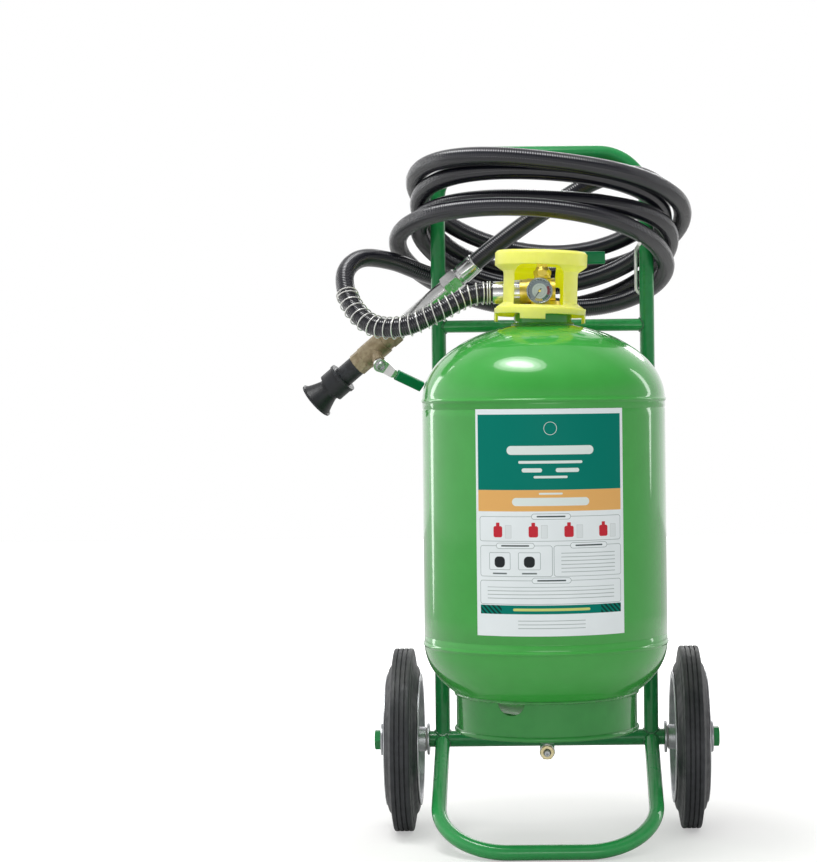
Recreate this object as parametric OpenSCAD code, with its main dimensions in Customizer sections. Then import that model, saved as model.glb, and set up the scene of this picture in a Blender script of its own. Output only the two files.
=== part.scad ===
// Wheeled fire extinguisher: a 25 litre pressure vessel on a two-wheeled tube
// trolley, with its hose wound round the push frame and a spray gun on the end.
// Millimetres, +Z up, X to the right, the vessel's front faces -Y.
// The origin is on the ground, under the middle of the trolley's footprint.

/* [Vessel] */
// Outer diameter of the vessel
tank_d = 300; // [290:1:304]
// Height of the lower weld, where the bottom head starts
weld_low_z = 262; // [255:1:270]
// Height of the upper weld, where the top head starts
weld_high_z = 560; // [550:1:564]
// Rise of the top head above its weld
top_head_h = 95; // [90:1:98]
// Drop of the bottom head below its weld
bottom_head_h = 92; // [86:1:96]
// Wall thickness of the vessel
tank_wall = 2.5; // [2:0.1:4]
// Outer diameter of the foot ring
foot_ring_d = 223; // [216:1:228]
// Height of the foot ring's lower edge
foot_ring_z = 153; // [150:1:158]

/* [Trolley frame] */
// Diameter of the frame tube
tube_d = 19; // [18:0.5:20]
// Distance between the centre lines of the two uprights
upright_gap = 272; // [268:1:276]
// How far the uprights stand behind the vessel's axis
frame_setback = 160; // [160:0.5:164]
// Height of the push handle's centre line
handle_z = 881; // [870:1:890]
// Bend radius of the handle's corners
handle_bend_r = 62; // [55:1:70]
// Diameter of the crossbar and of the two carrier bars
bar_d = 16; // [14:0.5:16]
// Height of the crossbar
crossbar_z = 656; // [652:1:658]
// Reach of the front stand, from the axle to its front bar
stand_reach = 205; // [195:1:210]
// Bend radius of the front stand's corners
stand_bend_r = 89; // [80:1:92]

/* [Wheels] */
// Wheel diameter
wheel_d = 236; // [230:1:240]
// Distance between the two wheels' middle planes
wheel_track = 372; // [370:0.5:374]
// Diameter of the axle rod
axle_d = 16; // [15:0.5:16]
// Width of the tread
tread_w = 25; // [22:0.5:28]
// Width of the tyre over its beads
tyre_w = 40.5; // [39:0.5:42]

/* [Valve head] */
// Height of the valve's outlet and gauge
valve_z = 693; // [692:0.5:694]
// Outer diameter of the neck boss
neck_d = 72; // [68:1:74]
// Diameter of the pressure gauge
gauge_d = 32; // [28:0.5:34]
// Outer diameter of the guard's top band
guard_d = 114; // [113:0.5:115]
// Outer diameter of the guard's waist
guard_waist_d = 97; // [96:0.5:99]
// Height of the guard's top edge
guard_top_z = 743; // [742:1:746]
// Diameter of the hose coupling
coupling_d = 28; // [26:0.5:29]

/* [Hose and spray gun] */
// Outer diameter of the hose
hose_d = 23.5; // [22.5:0.1:23.8]
// Wire diameter of the bend-restricting spring
spring_wire = 1.6; // [1.4:0.1:1.6]
// Radius of the spring, to the middle of its wire
spring_r = 13.6; // [13.5:0.1:14]
// Diameter of the spray gun's lance
lance_d = 23; // [20:0.5:23.5]
// Diameter of the nozzle's mouth
nozzle_d = 50; // [44:1:52]

/* [Hidden] */
$fn = 64;
hull_fn = 32;

tank_r = tank_d / 2;
tube_r = tube_d / 2;
bar_r = bar_d / 2;
wheel_r = wheel_d / 2;
hose_r = hose_d / 2;
upright_x = upright_gap / 2;

// The footprint runs from the vessel's front to the wheels' back, and the
// origin is halfway along it.
tank_y = (tank_r - frame_setback - wheel_r) / 2;
axle_y = tank_y + frame_setback;
axle_z = wheel_r;

// Push frame
handle_straight_x = upright_x - handle_bend_r;
bend_z = handle_z - handle_bend_r;

// Front stand: a flat U that slopes from the axle down to its front bar
stand_drop = axle_z - tube_r;
stand_len = norm([stand_reach, stand_drop]);
stand_slope = atan2(stand_drop, stand_reach);

// Axle
axle_tube_d = 21;
axle_tube_half = 153;
axle_end_x = 224.5;
washer_d = 41;
washer_t = 3;
outer_washer_x = 213.5;

// Vessel carriers
carrier_low_z = 300;
carrier_high_z = 520;
pad_t = 3;
pad_w = 110;
pad_h = 60;

// Wheel
hub_d = 32;
hub_in_x = 157.6;
hub_out_x = 211.9;
bush_flange_t = 1.2;
rim_seat_r = 78;
rim_flange_r = 85;
rim_half_w = 22.5;

// Valve head
neck_top_z = 669;
seal_t = 2;
valve_base_z = neck_top_z + seal_t;
ball_r = 12;
port_r = 7.5;
stem_r = 5;
guard_r = guard_d / 2;
guard_waist_r = guard_waist_d / 2;
guard_t = 2.5;
guard_low_z = 655.5;
gauge_face_y = -42;
gauge_x = -3.5;
guard_x = -2.4;
guard_lean = 2;
valve_lever_y = 62;
lever_t = 3;

// Spray gun: its own frame has +Z down the gun, from the hose end
gun_at = [-86, 127, 737.5];
gun_turn = [0, 129.2, 168.3];
gun_stem_turn = 50;
gun_nut_at = 29;
lance_at = 51;
gun_valve_at = 138;
gun_ball_at = 176;
sleeve_at = 207;
collar_at = 231;
horn_at = 253;
gun_len = 280;
gun_bore_r = 8;
gun_lever_h = 39;
gun_lever_step = 6;
gun_lever_skew = 16;
gun_lever_len = 63;
gun_grip_at = 24;

// Hose route, from the vessel's axis. The lead leaves the coupling to the
// left, turns back behind the left upright and runs to the middle of the back.
lead_points = [
    [-61, 0, 693], [-93, -3, 688], [-130, -9, 669], [-171, -4, 652],
    [-212, 16, 655], [-241, 48, 683], [-251, 86, 722], [-233, 125, 744],
    [-196, 160, 742], [-153, 183, 726], [-110, 205, 713], [-66, 231, 701],
    [-22, 251, 691], [2, 257, 687]
];
lead_start_dir = [-1, 0, 0];
lead_end_dir = [0.98, 0.14, -0.14];

// The tail leaves the coil at the right and falls to the gun's ferrule.
tail_points = [
    [158.5, 161, 822], [154, 136, 831], [141, 114, 840.5], [119, 99, 846],
    [92, 93, 845], [65, 93, 836.5], [36, 97, 820.5], [-2, 104, 798],
    [-42, 114, 771], [-86, 127, 737.5]
];
tail_start_dir = [0, -24, 6];
gun_dir = [
    sin(gun_turn[1]) * cos(gun_turn[2]),
    sin(gun_turn[1]) * sin(gun_turn[2]),
    cos(gun_turn[1])
];

// The coil: where each turn crosses the right side, the front, the left side
// and the back. Sides are [reach from the vessel's axis, height].
turns = 4;
right_side = [[161, 737], [167, 767], [158.5, 793], [184, 799], [158.5, 816]];
front_side = [[0, 798], [31, 811], [26, 846], [0, 858]];
left_side = [[189, 763], [161, 782], [160, 810], [165, 839]];
back_side = [[308, 684], [280, 712], [308, 729], [278, 758]];
right_y = [160, 160, 160, 160, 185];
left_y = [180, 170, 165, 165];
front_x = -10;

loop_rings = 24;
loop_sides = 6;
curl_rings = 8;
curl_sides = 6;
tube_sides = 12;
spring_curls = 24;
// Length along the lead at which each of these turns of the spring starts
spring_pitch = [[0, 3], [1, 6], [3, 16], [22, 231], [24, 238]];

// ---------------------------------------------------------------- curves

function unit(v) = v / norm(v);

// Point on the cubic between p0 and p1 that has slopes s0 and s1 there
function cubic(p0, s0, p1, s1, t) =
    (2 * t ^ 3 - 3 * t ^ 2 + 1) * p0 + (t ^ 3 - 2 * t ^ 2 + t) * s0
    + (3 * t ^ 2 - 2 * t ^ 3) * p1 + (t ^ 3 - t ^ 2) * s1;

// A smooth line through the points, with steps points a span. pull is 0.5 for
// points that lie close together and 0.83 for the quarter points of a circle.
function smooth_line(points, first, last, pull, steps) =
    let (end = len(points) - 1)
    let (slopes = [
        for (i = [0:end])
            i == 0 ? first : i == end ? last : pull * (points[i + 1] - points[i - 1])
    ])
    concat(
        [for (i = [0:end - 1], k = [0:steps - 1])
            cubic(points[i], slopes[i], points[i + 1], slopes[i + 1], k / steps)],
        [points[end]]
    );

// Length along a line, at each of its points
function run_lengths(line) = [
    for (i = 0, s = 0; i < len(line);
         s = s + (i + 1 < len(line) ? norm(line[i + 1] - line[i]) : 0), i = i + 1) s
];

// The point that lies s along a line whose run lengths are given
function point_at(line, runs, s) = [
    for (axis = [0:2]) lookup(s, [for (i = [0:len(line) - 1]) [runs[i], line[i][axis]]])
];

// The same line with its points a steady distance apart
function even_line(line, gap) =
    let (runs = run_lengths(line))
    let (total = runs[len(line) - 1])
    let (count = max(1, round(total / gap)))
    [for (i = [0:count]) point_at(line, runs, total * i / count)];

function heading(line, i) =
    unit(line[min(i + 1, len(line) - 1)] - line[max(i - 1, 0)]);

// A ring of corners round a point of the line, square to its heading
function ring_round(centre, dir, r, sides) =
    let (across = unit(cross(dir, [0, 0, 1])))
    let (over = cross(across, dir))
    [for (k = [0:sides - 1])
        centre + r * (cos(360 * k / sides) * across + sin(360 * k / sides) * over)];

// A closed tube along a line, in triangles, whose ends face first and last
module tube_along(line, first, last_dir, r, sides) {
    rings = len(line);
    points = [
        for (i = [0:rings - 1])
            let (dir = i == 0 ? unit(first) : i == rings - 1 ? unit(last_dir) : heading(line, i))
            each ring_round(line[i], dir, r, sides)
    ];
    walls = [
        for (i = [0:rings - 2], k = [0:sides - 1])
            let (n = (k + 1) % sides)
            each [
                [i * sides + k, i * sides + n, (i + 1) * sides + k],
                [i * sides + n, (i + 1) * sides + n, (i + 1) * sides + k]
            ]
    ];
    last = (rings - 1) * sides;
    caps = [
        for (k = [1:sides - 2])
            each [[0, k + 1, k], [last, last + k, last + k + 1]]
    ];
    polyhedron(points, concat(walls, caps));
}

// Least distance between points of a line that are more than skip points apart
function least_gap(line, skip) = min([
    for (i = [0:len(line) - 1 - skip], j = [i + skip:len(line) - 1])
        norm(line[i] - line[j])
]);

// ---------------------------------------------------------- hose routes

lead_line = smooth_line(
    lead_points, lead_start_dir * 33, unit(lead_end_dir) * 24, 0.5, 8);
lead_runs = run_lengths(lead_line);

tail_line = smooth_line(
    tail_points, unit(tail_start_dir) * 24, gun_dir * 50, 0.5, 8);

coil_start = lead_points[len(lead_points) - 1];
coil_stations = [
    coil_start + unit(lead_end_dir) * hose_d,
    for (n = [0:turns - 1])
        each [
            [right_side[n][0], right_y[n], right_side[n][1]],
            [front_x, front_side[n][0], front_side[n][1]],
            [-left_side[n][0], left_y[n], left_side[n][1]],
            [0, back_side[n][0], back_side[n][1]]
        ],
    [right_side[turns][0], right_y[turns], right_side[turns][1]]
];
coil_line = concat(
    [coil_start],
    smooth_line(
        coil_stations,
        unit(lead_end_dir) * 195,
        unit(tail_start_dir) * 245,
        0.83,
        loop_rings / 4),
    [tail_points[0]]
);

// The spring's turns sit on the lead, and lie closer together at both ends.
spring_line = [
    for (i = [0:spring_curls * curl_rings])
        let (s = lookup(i / curl_rings, spring_pitch))
        let (centre = point_at(lead_line, lead_runs, s))
        let (dir = unit(point_at(lead_line, lead_runs, s + 1) - point_at(lead_line, lead_runs, max(0, s - 1))))
        let (across = unit(cross(dir, [0, 0, 1])))
        let (over = cross(across, dir))
        centre + spring_r * (cos(360 * i / curl_rings) * across + sin(360 * i / curl_rings) * over)
];

spring_end = len(spring_line) - 1;

echo(lead_length = lead_runs[len(lead_runs) - 1]);
echo(coil_length = let (r = run_lengths(coil_line)) r[len(r) - 1]);
echo(tail_length = let (r = run_lengths(tail_line)) r[len(r) - 1]);
echo(coil_least_gap = least_gap(coil_line, loop_rings / 2) - hose_d);
echo(spring_least_gap = least_gap(spring_line, 4) - spring_wire);

// --------------------------------------------------------------- helpers

// Places a piece by the vessel's axis
module by_tank() {
    translate([0, tank_y, 0]) children();
}

// Lays a piece that was drawn along +Z along +X
module along_x() {
    rotate([0, 90, 0]) children();
}

// Lays a piece that was drawn along +Z along -Y, so that it faces the front
module facing_front() {
    rotate([90, 0, 0]) children();
}

// Lays a piece that was drawn along +Z along +Y, so that it faces the back
module facing_back() {
    rotate([-90, 0, 0]) children();
}

// A straight pipe, drawn along +Z
module pipe(r, bore, h) {
    difference() {
        cylinder(r = r, h = h);
        translate([0, 0, -1]) cylinder(r = bore, h = h + 2);
    }
}

// A hexagon nut, drawn along +Z
module hex_nut(across_flats, bore, h) {
    flat_r = across_flats / 2;
    corner_r = flat_r / cos(30);
    chamfer = (corner_r - flat_r) * 0.7;
    difference() {
        intersection() {
            cylinder(r = corner_r, h = h, $fn = 6);
            rotate_extrude()
                polygon([
                    [0, 0], [flat_r, 0], [corner_r + 0.1, chamfer],
                    [corner_r + 0.1, h - chamfer], [flat_r, h], [0, h]
                ]);
        }
        translate([0, 0, -1]) cylinder(r = bore, h = h + 2);
    }
}

// A quarter bend of round bar in the XZ plane, round the origin
module bend(r, bar, from, to) {
    facing_front()
        rotate([0, 0, from])
            rotate_extrude(angle = to - from)
                translate([r, 0]) circle(r = bar);
}

// Quarter of an ellipse as points, from its side (angle 0) to its pole (90)
function head_curve(a, b, z, steps) = [
    for (i = [0:steps]) [a * cos(90 * i / steps), z + b * sin(90 * i / steps)]
];

// ---------------------------------------------------------------- vessel

// Outline of the vessel, shrunk by gap
module vessel_outline(gap) {
    top = head_curve(tank_r - gap, top_head_h - gap, weld_high_z, 20);
    low = head_curve(tank_r - gap, -(bottom_head_h - gap), weld_low_z, 20);
    rotate_extrude()
        polygon(concat([for (i = [20:-1:0]) low[i]], top));
}

// A weld bead round the vessel
module weld_bead(z) {
    translate([0, 0, z])
        rotate_extrude()
            translate([tank_r - 2.2, 0])
                circle(r = 4);
}

module tank_shell() {
    color("limegreen")
    by_tank()
        difference() {
            union() {
                vessel_outline(0);
                weld_bead(weld_high_z);
                weld_bead(weld_low_z);
            }
            vessel_outline(tank_wall + 2.5);
            translate([0, 0, weld_high_z]) cylinder(r = 26, h = 200);
        }
}

module foot_ring() {
    ring_r = foot_ring_d / 2;
    wall = 2.5;
    notch_r = 16;
    notch_x = -42.3;
    notch_z = 200;
    color("green")
    by_tank()
        difference() {
            union() {
                translate([0, 0, foot_ring_z]) pipe(ring_r, ring_r - wall, 55);
                translate([0, 0, foot_ring_z + 3])
                    rotate_extrude() translate([ring_r - 0.5, 0]) circle(r = 3);
            }
            vessel_outline(0);
            translate([notch_x, -ring_r * 2, notch_z])
                facing_back() cylinder(r = notch_r, h = ring_r * 2);
        }
}

module neck_boss() {
    color("green")
    by_tank()
        difference() {
            union() {
                difference() {
                    translate([0, 0, weld_high_z + 60])
                        cylinder(d = neck_d, h = neck_top_z - weld_high_z - 60 - 4);
                    vessel_outline(0);
                }
                translate([0, 0, neck_top_z - 4]) cylinder(d1 = neck_d, d2 = neck_d - 8, h = 4);
                translate([0, 0, 640]) cylinder(r = 25.9, h = 20);
            }
            translate([0, 0, 630]) cylinder(r = 16.1, h = 60);
        }
}

// --------------------------------------------------------------- trolley

module push_frame() {
    foot_z = axle_z;
    color("green")
    difference() {
        translate([0, axle_y, 0])
            union() {
                for (side = [-1, 1])
                    translate([side * upright_x, 0, foot_z])
                        cylinder(r = tube_r, h = bend_z - foot_z);
                translate([handle_straight_x, 0, bend_z])
                    bend(handle_bend_r, tube_r, 0, 90);
                translate([-handle_straight_x, 0, bend_z])
                    bend(handle_bend_r, tube_r, 90, 180);
                translate([-handle_straight_x, 0, handle_z])
                    along_x() cylinder(r = tube_r, h = 2 * handle_straight_x);
            }
        translate([-upright_x * 2, axle_y, axle_z])
            along_x() cylinder(d = axle_tube_d, h = upright_x * 4);
    }
}

// A bar between the uprights, coped to them
module upright_bar(z) {
    difference() {
        translate([-upright_x, axle_y, z])
            along_x() cylinder(r = bar_r, h = upright_gap);
        for (side = [-1, 1])
            translate([side * upright_x, axle_y, z - 20])
                cylinder(r = tube_r, h = 40);
    }
}

module crossbar() {
    color("green") upright_bar(crossbar_z);
}

// A bar with a curved pad that the vessel is welded to
module carrier(z) {
    color("green")
    union() {
        upright_bar(z);
        by_tank()
            intersection() {
                translate([0, 0, z - pad_h / 2])
                    pipe(tank_r + pad_t, tank_r, pad_h);
                translate([-pad_w / 2, 0, z - pad_h / 2])
                    cube([pad_w, tank_r * 2, pad_h]);
            }
    }
}

module upper_carrier() {
    carrier(carrier_high_z);
}

module lower_carrier() {
    carrier(carrier_low_z);
}

module front_stand() {
    leg = stand_len - stand_bend_r;
    bar_half = upright_x - stand_bend_r;
    color("green")
    difference() {
        translate([0, axle_y, axle_z])
            rotate([stand_slope, 0, 0])
                rotate([90, 0, 0])
                    union() {
                        for (side = [-1, 1])
                            translate([side * upright_x, 0, 0]) cylinder(r = tube_r, h = leg);
                        for (side = [-1, 1])
                            translate([side * bar_half, 0, leg])
                                rotate([90, side > 0 ? 0 : -90, 0])
                                    rotate_extrude(angle = 90)
                                        translate([stand_bend_r, 0]) circle(r = tube_r);
                        translate([-bar_half, 0, stand_len])
                            along_x() cylinder(r = tube_r, h = 2 * bar_half);
                    }
        translate([-upright_x * 2, axle_y, axle_z])
            along_x() cylinder(d = axle_tube_d, h = upright_x * 4);
        for (side = [-1, 1])
            translate([side * upright_x, axle_y, axle_z])
                cylinder(r = tube_r, h = 60);
    }
}

module axle_tube() {
    color("darkgreen")
    translate([-axle_tube_half, axle_y, axle_z])
        along_x() pipe(axle_tube_d / 2, axle_d / 2, 2 * axle_tube_half);
}

module axle_rod() {
    color("darkgreen")
    translate([-axle_end_x, axle_y, axle_z])
        along_x() cylinder(d = axle_d, h = 2 * axle_end_x);
}

module axle_washers() {
    color("darkgreen")
    for (side = [-1, 1], x = [axle_tube_half, outer_washer_x])
        translate([side > 0 ? x : -x - washer_t, axle_y, axle_z])
            along_x() pipe(washer_d / 2, axle_d / 2, washer_t);
}

module axle_nuts() {
    nut_h = axle_end_x - outer_washer_x - washer_t;
    color("green")
    for (side = [-1, 1])
        translate([side > 0 ? axle_end_x - nut_h : -axle_end_x, axle_y, axle_z])
            along_x() hex_nut(24, axle_d / 2, nut_h);
}

// The lug hangs in front of the axle tube and carries a threaded stud.
stud_z = 102;
stud_r = 5;
stud_tip_r = 4;
lug_w = 19;
lug_t = 4;
lug_back_y = axle_y - axle_tube_d / 2 + 1;
stud_len = 20;
earth_washer_t = 2;
earth_nut_h = 8;

module earth_lug() {
    color("green")
    union() {
        difference() {
            union() {
                translate([0, lug_back_y, stud_z])
                    facing_front() cylinder(d = lug_w, h = lug_t);
                translate([-lug_w / 2, lug_back_y - lug_t, stud_z])
                    cube([lug_w, lug_t, 22]);
            }
            translate([-lug_w, axle_y, axle_z])
                along_x() cylinder(d = axle_tube_d, h = lug_w * 2);
        }
        translate([0, lug_back_y - 1, stud_z])
            facing_front() cylinder(r = stud_r, h = lug_t - 1 + earth_washer_t + earth_nut_h);
        translate([0, lug_back_y - 1, stud_z])
            facing_front() cylinder(r = stud_tip_r, h = stud_len + lug_t - 1);
    }
}

module earth_washer() {
    color("goldenrod")
    translate([0, lug_back_y - lug_t, stud_z])
        facing_front() pipe(10, stud_r, earth_washer_t);
}

module earth_nut() {
    color("goldenrod")
    translate([0, lug_back_y - lug_t - earth_washer_t, stud_z])
        facing_front() hex_nut(17, stud_r, earth_nut_h);
}

// A round-bar hook on the right upright: up beside the tube, then forward
// under the coil.
module hose_hook() {
    rod_r = 2.3;
    hook_x = upright_x - tube_r - 4;
    low_z = 706;
    arm_z = 754.5;
    turn_r = 12;
    arm_y = 48;
    stand_y = frame_setback + 4;
    color("whitesmoke")
    by_tank()
        difference() {
            union() {
                translate([hook_x, stand_y, low_z]) cylinder(r = rod_r, h = arm_z - turn_r - low_z);
                translate([hook_x, stand_y - turn_r, arm_z - turn_r])
                    rotate([90, 0, 90])
                        rotate_extrude(angle = 90)
                            translate([turn_r, 0]) circle(r = rod_r);
                translate([hook_x, stand_y - turn_r, arm_z])
                    facing_front() cylinder(r = rod_r, h = stand_y - turn_r - arm_y);
                translate([hook_x + 10, stand_y, low_z])
                    bend(10, rod_r, 180, 250);
            }
            translate([upright_x, frame_setback, low_z - 40])
                cylinder(r = tube_r, h = 120);
        }
}

// ------------------------------------------------------------ valve head

module valve_body() {
    color("goldenrod")
    by_tank()
        difference() {
            union() {
                translate([0, 0, 645]) cylinder(r = 16, h = 40);
                translate([0, 0, valve_base_z]) cylinder(d = 44 / cos(30), h = 5.5, $fn = 6);
                intersection() {
                    translate([0, 0, valve_base_z + 5]) cylinder(r1 = 22.5, r2 = 21.5, h = 5.5);
                    translate([-14, -30, valve_base_z]) cube([50, 60, 20]);
                }
                translate([0, 0, valve_base_z]) cylinder(r = 15, h = 38);
                translate([-19, 0, valve_z]) along_x() cylinder(r = 17, h = 35);
                translate([gauge_x, 0, valve_z]) facing_front() cylinder(r = 7.5, h = 25);
                translate([0, 0, valve_z]) facing_back() cylinder(r = 9, h = 26);
            }
            translate([-20, 0, valve_z]) along_x() cylinder(r = 13.2, h = 33.2);
            translate([0, 0, 640]) cylinder(r = port_r, h = valve_z - 640);
            translate([0, 0, 644]) cylinder(r = 10, h = 24);
            translate([0, 0, valve_z]) cylinder(r = 6, h = 40);
            translate([gauge_x, 0, valve_z]) facing_front() cylinder(r = 4, h = 40);
            translate([0, 0, valve_z]) facing_back() cylinder(r = stem_r + 0.05, h = 40);
        }
}

module valve_end_cap() {
    color("goldenrod")
    by_tank()
        translate([-28, 0, valve_z])
            along_x()
                difference() {
                    union() {
                        cylinder(r = 16, h = 9);
                        cylinder(r = 13.2, h = 12);
                    }
                    translate([0, 0, -1]) cylinder(r = port_r, h = 20);
                }
}

// Two soft rings that the ball turns between
module valve_seats() {
    color("white")
    by_tank()
        difference() {
            translate([-16, 0, valve_z]) along_x() cylinder(r = 13.2, h = 29.2);
            translate([0, 0, valve_z]) sphere(r = ball_r + 0.3);
            translate([-5.5, 0, valve_z]) along_x() cylinder(r = 20, h = 11);
            translate([-30, 0, valve_z]) along_x() cylinder(r = port_r, h = 60);
        }
}

module neck_seal() {
    color("black")
    by_tank()
        translate([0, 0, neck_top_z]) pipe(22, 16, seal_t);
}

module bonnet_plug() {
    color("goldenrod")
    by_tank()
        translate([0, 0, 710])
            union() {
                cylinder(r = 10.2, h = 3);
                translate([0, 0, 3]) hex_nut(19, 0.01, 7);
                translate([0, 0, 3]) cylinder(r = 4, h = 7);
                translate([0, 0, 10]) cylinder(r1 = 9.2, r2 = 7.4, h = 4);
                translate([-6.5, -6.5, 14]) cube([13, 13, 7]);
                translate([0, 0, -3.4]) cylinder(r = 6, h = 3.4);
            }
}

module dip_tube() {
    color("white")
    by_tank()
        translate([0, 0, 186]) pipe(9.9, 7.5, 482);
}

// The ball's two ports meet in its middle. At rest they face the outlet and
// the top, so the way in from below is shut.
module valve_ball() {
    color("silver")
    by_tank()
        translate([0, 0, valve_z])
            difference() {
                sphere(r = ball_r);
                cylinder(r = port_r - 0.5, h = 20);
                rotate([0, -90, 0]) cylinder(r = port_r - 0.5, h = 20);
                translate([-6, ball_r - 3, -2]) cube([12, 5, 4]);
            }
}

module valve_stem() {
    color("silver")
    by_tank()
        translate([0, 0, valve_z])
            union() {
                translate([0, ball_r + 0.2, 0])
                    facing_back() cylinder(r = stem_r, h = valve_lever_y + 8 - ball_r);
                translate([-4, ball_r - 2.6, -1.8]) cube([8, 4, 3.6]);
            }
}

// Outline of the valve lever, seen from the front, round its stem
module valve_lever_outline() {
    difference() {
        union() {
            hull() {
                circle(r = 10, $fn = hull_fn);
                translate([-2, 20]) circle(r = 6, $fn = hull_fn);
            }
            hull() {
                translate([-2, 20]) circle(r = 6, $fn = hull_fn);
                translate([0, 44]) circle(r = 8, $fn = hull_fn);
            }
            hull() {
                translate([0, 44]) circle(r = 8, $fn = hull_fn);
                translate([36, 45.5]) circle(r = 6, $fn = hull_fn);
            }
            hull() {
                translate([36, 45.5]) circle(r = 4, $fn = hull_fn);
                translate([73, 45.5]) circle(r = 4, $fn = hull_fn);
            }
        }
        circle(r = stem_r + 0.05);
    }
}

module valve_lever() {
    color("silver")
    by_tank()
        difference() {
            translate([0, valve_lever_y + lever_t, valve_z])
                facing_front() linear_extrude(lever_t) valve_lever_outline();
            translate([0, valve_lever_y - 5, valve_z])
                facing_back() cylinder(r = stem_r + 0.05, h = 20);
        }
}

module valve_lever_grip() {
    color("teal")
    by_tank()
        difference() {
            translate([43, valve_lever_y + lever_t / 2, valve_z + 45.5])
                rotate([0, 90, 0])
                    linear_extrude(36.5)
                        offset(r = 3, $fn = hull_fn) square([10, 3], center = true);
            translate([0, valve_lever_y + lever_t, valve_z])
                facing_front() linear_extrude(lever_t) valve_lever_outline();
        }
}

module valve_lever_nut() {
    color("silver")
    by_tank()
        translate([0, valve_lever_y + lever_t, valve_z])
            facing_back() hex_nut(13, stem_r, 5);
}

module gauge_case() {
    color("silver")
    by_tank()
        translate([gauge_x, 0, valve_z])
            difference() {
                union() {
                    translate([0, gauge_face_y + 15, 0]) facing_front() cylinder(d = gauge_d, h = 15);
                    translate([0, -25, 0]) facing_front() cylinder(r = 6, h = 3);
                    translate([0, -18, 0]) facing_front() cylinder(r = 3.9, h = 8);
                }
                translate([0, gauge_face_y + 5, 0])
                    facing_front() cylinder(d = gauge_d - 3, h = 10);
            }
}

module gauge_dial() {
    color("white")
    by_tank()
        translate([gauge_x, gauge_face_y + 5, valve_z])
            facing_front() cylinder(d = gauge_d - 3.2, h = 0.8);
}

module gauge_pointer() {
    color("black")
    by_tank()
        translate([gauge_x, gauge_face_y + 4, valve_z])
            facing_front()
                union() {
                    cylinder(r = 1.6, h = 1.6);
                    rotate([0, 0, 60]) translate([-0.5, -3, 0.2]) cube([1, 14, 0.8]);
                }
}

module gauge_lens() {
    color("lightblue")
    by_tank()
        translate([gauge_x, gauge_face_y + 1.6, valve_z])
            facing_front() cylinder(d = gauge_d - 3.2, h = 1.6);
}

// Outline of half the guard's wall: radius against height
guard_profile = [
    [guard_r, guard_top_z - 3], [guard_r, 725], [guard_waist_r, 718],
    [guard_waist_r, 679], [guard_r - 0.5, 673], [guard_r - 0.5, guard_low_z]
];

module guard_wall() {
    outer = concat([[guard_r - 3, guard_top_z]], guard_profile);
    inner = [for (i = [len(guard_profile) - 1:-1:0]) guard_profile[i] - [guard_t, 0]];
    rotate_extrude()
        polygon(concat(outer, inner, [[guard_r - guard_t - 3, guard_top_z]]));
}

// A window through the guard, seen from the front: a square opening with an
// arched top
module guard_window(w, low_z, high_z, corner) {
    translate([0, 0, low_z])
        rotate([90, 0, 0])
            linear_extrude(100)
                union() {
                    translate([-w / 2, 0]) square([w, high_z - low_z - corner]);
                    translate([-w / 2 + corner, 0]) square([w - 2 * corner, high_z - low_z]);
                    for (side = [-1, 1])
                        translate([side * (w / 2 - corner), high_z - low_z - corner])
                            circle(r = corner);
                }
}

// The wall leans a little to the right. Its floor is clamped under the valve.
module valve_guard() {
    color("yellow")
    by_tank()
        union() {
            translate([guard_x, 0, 700])
                rotate([0, guard_lean, 0])
                    translate([0, 0, -700])
                        difference() {
                            guard_wall();
                            // front window
                            translate([-2, 0, 0]) guard_window(60, 676, 725, 12);
                            // side windows, for the coupling and for looking in
                            rotate([0, 0, -90]) guard_window(32, 672, 722, 12);
                            rotate([0, 0, 90]) guard_window(32, 672, 722, 12);
                            // back openings, for the stem and for looking in
                            rotate([0, 0, 180]) guard_window(49, 680, 701, 3);
                            translate([14.5, 60, 698])
                                rotate([90, 0, 0])
                                    linear_extrude(30)
                                        polygon([[-2, 0], [2, 0], [4.5, 29], [-7, 29]]);
                            // the skirt is cut away between its tab and its legs
                            for (turn = [-51, 51])
                                rotate([0, 0, turn])
                                    translate([-24, -70, guard_low_z - 1]) cube([48, 40, 10.5]);
                            for (turn = [133, -133])
                                rotate([0, 0, turn])
                                    translate([-24, -70, guard_low_z - 1]) cube([48, 40, 8]);
                            translate([7, -70, guard_low_z - 1]) cube([30, 30, 10.5]);
                            translate([-19, 30, guard_low_z - 1]) cube([38, 40, 8]);
                            translate([-80, -70, guard_low_z - 1]) cube([160, 70 - 15, 3.8]);
                        }
            translate([0, 0, neck_top_z])
                difference() {
                    translate([guard_x, 0, 0]) cylinder(r = guard_r - 1.2, h = seal_t);
                    translate([0, 0, -1]) cylinder(r = 22.1, h = seal_t + 2);
                }
        }
}

module hose_coupling() {
    color("silver")
    by_tank()
        translate([-61, 0, valve_z])
            along_x()
                difference() {
                    union() {
                        cylinder(d = coupling_d, h = 33);
                        translate([0, 0, 24]) cylinder(d = coupling_d + 2, h = 9, $fn = 6);
                    }
                    translate([0, 0, -1]) cylinder(r = port_r, h = 40);
                }
}

// ------------------------------------------------------------------ hose

module hose_lead() {
    color("dimgray")
    by_tank()
        tube_along(even_line(lead_line, 15), lead_start_dir, lead_end_dir, hose_r, tube_sides);
}

module hose_spring() {
    color("silver")
    by_tank()
        tube_along(
            spring_line,
            spring_line[1] - spring_line[0],
            spring_line[spring_end] - spring_line[spring_end - 1],
            spring_wire / 2,
            curl_sides);
}

module hose_coil() {
    color("dimgray")
    by_tank()
        tube_along(coil_line, lead_end_dir, tail_start_dir, hose_r, loop_sides);
}

module hose_tail() {
    color("dimgray")
    by_tank()
        tube_along(even_line(tail_line, 18), tail_start_dir, gun_dir, hose_r, tube_sides);
}

// ------------------------------------------------------------- spray gun

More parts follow.
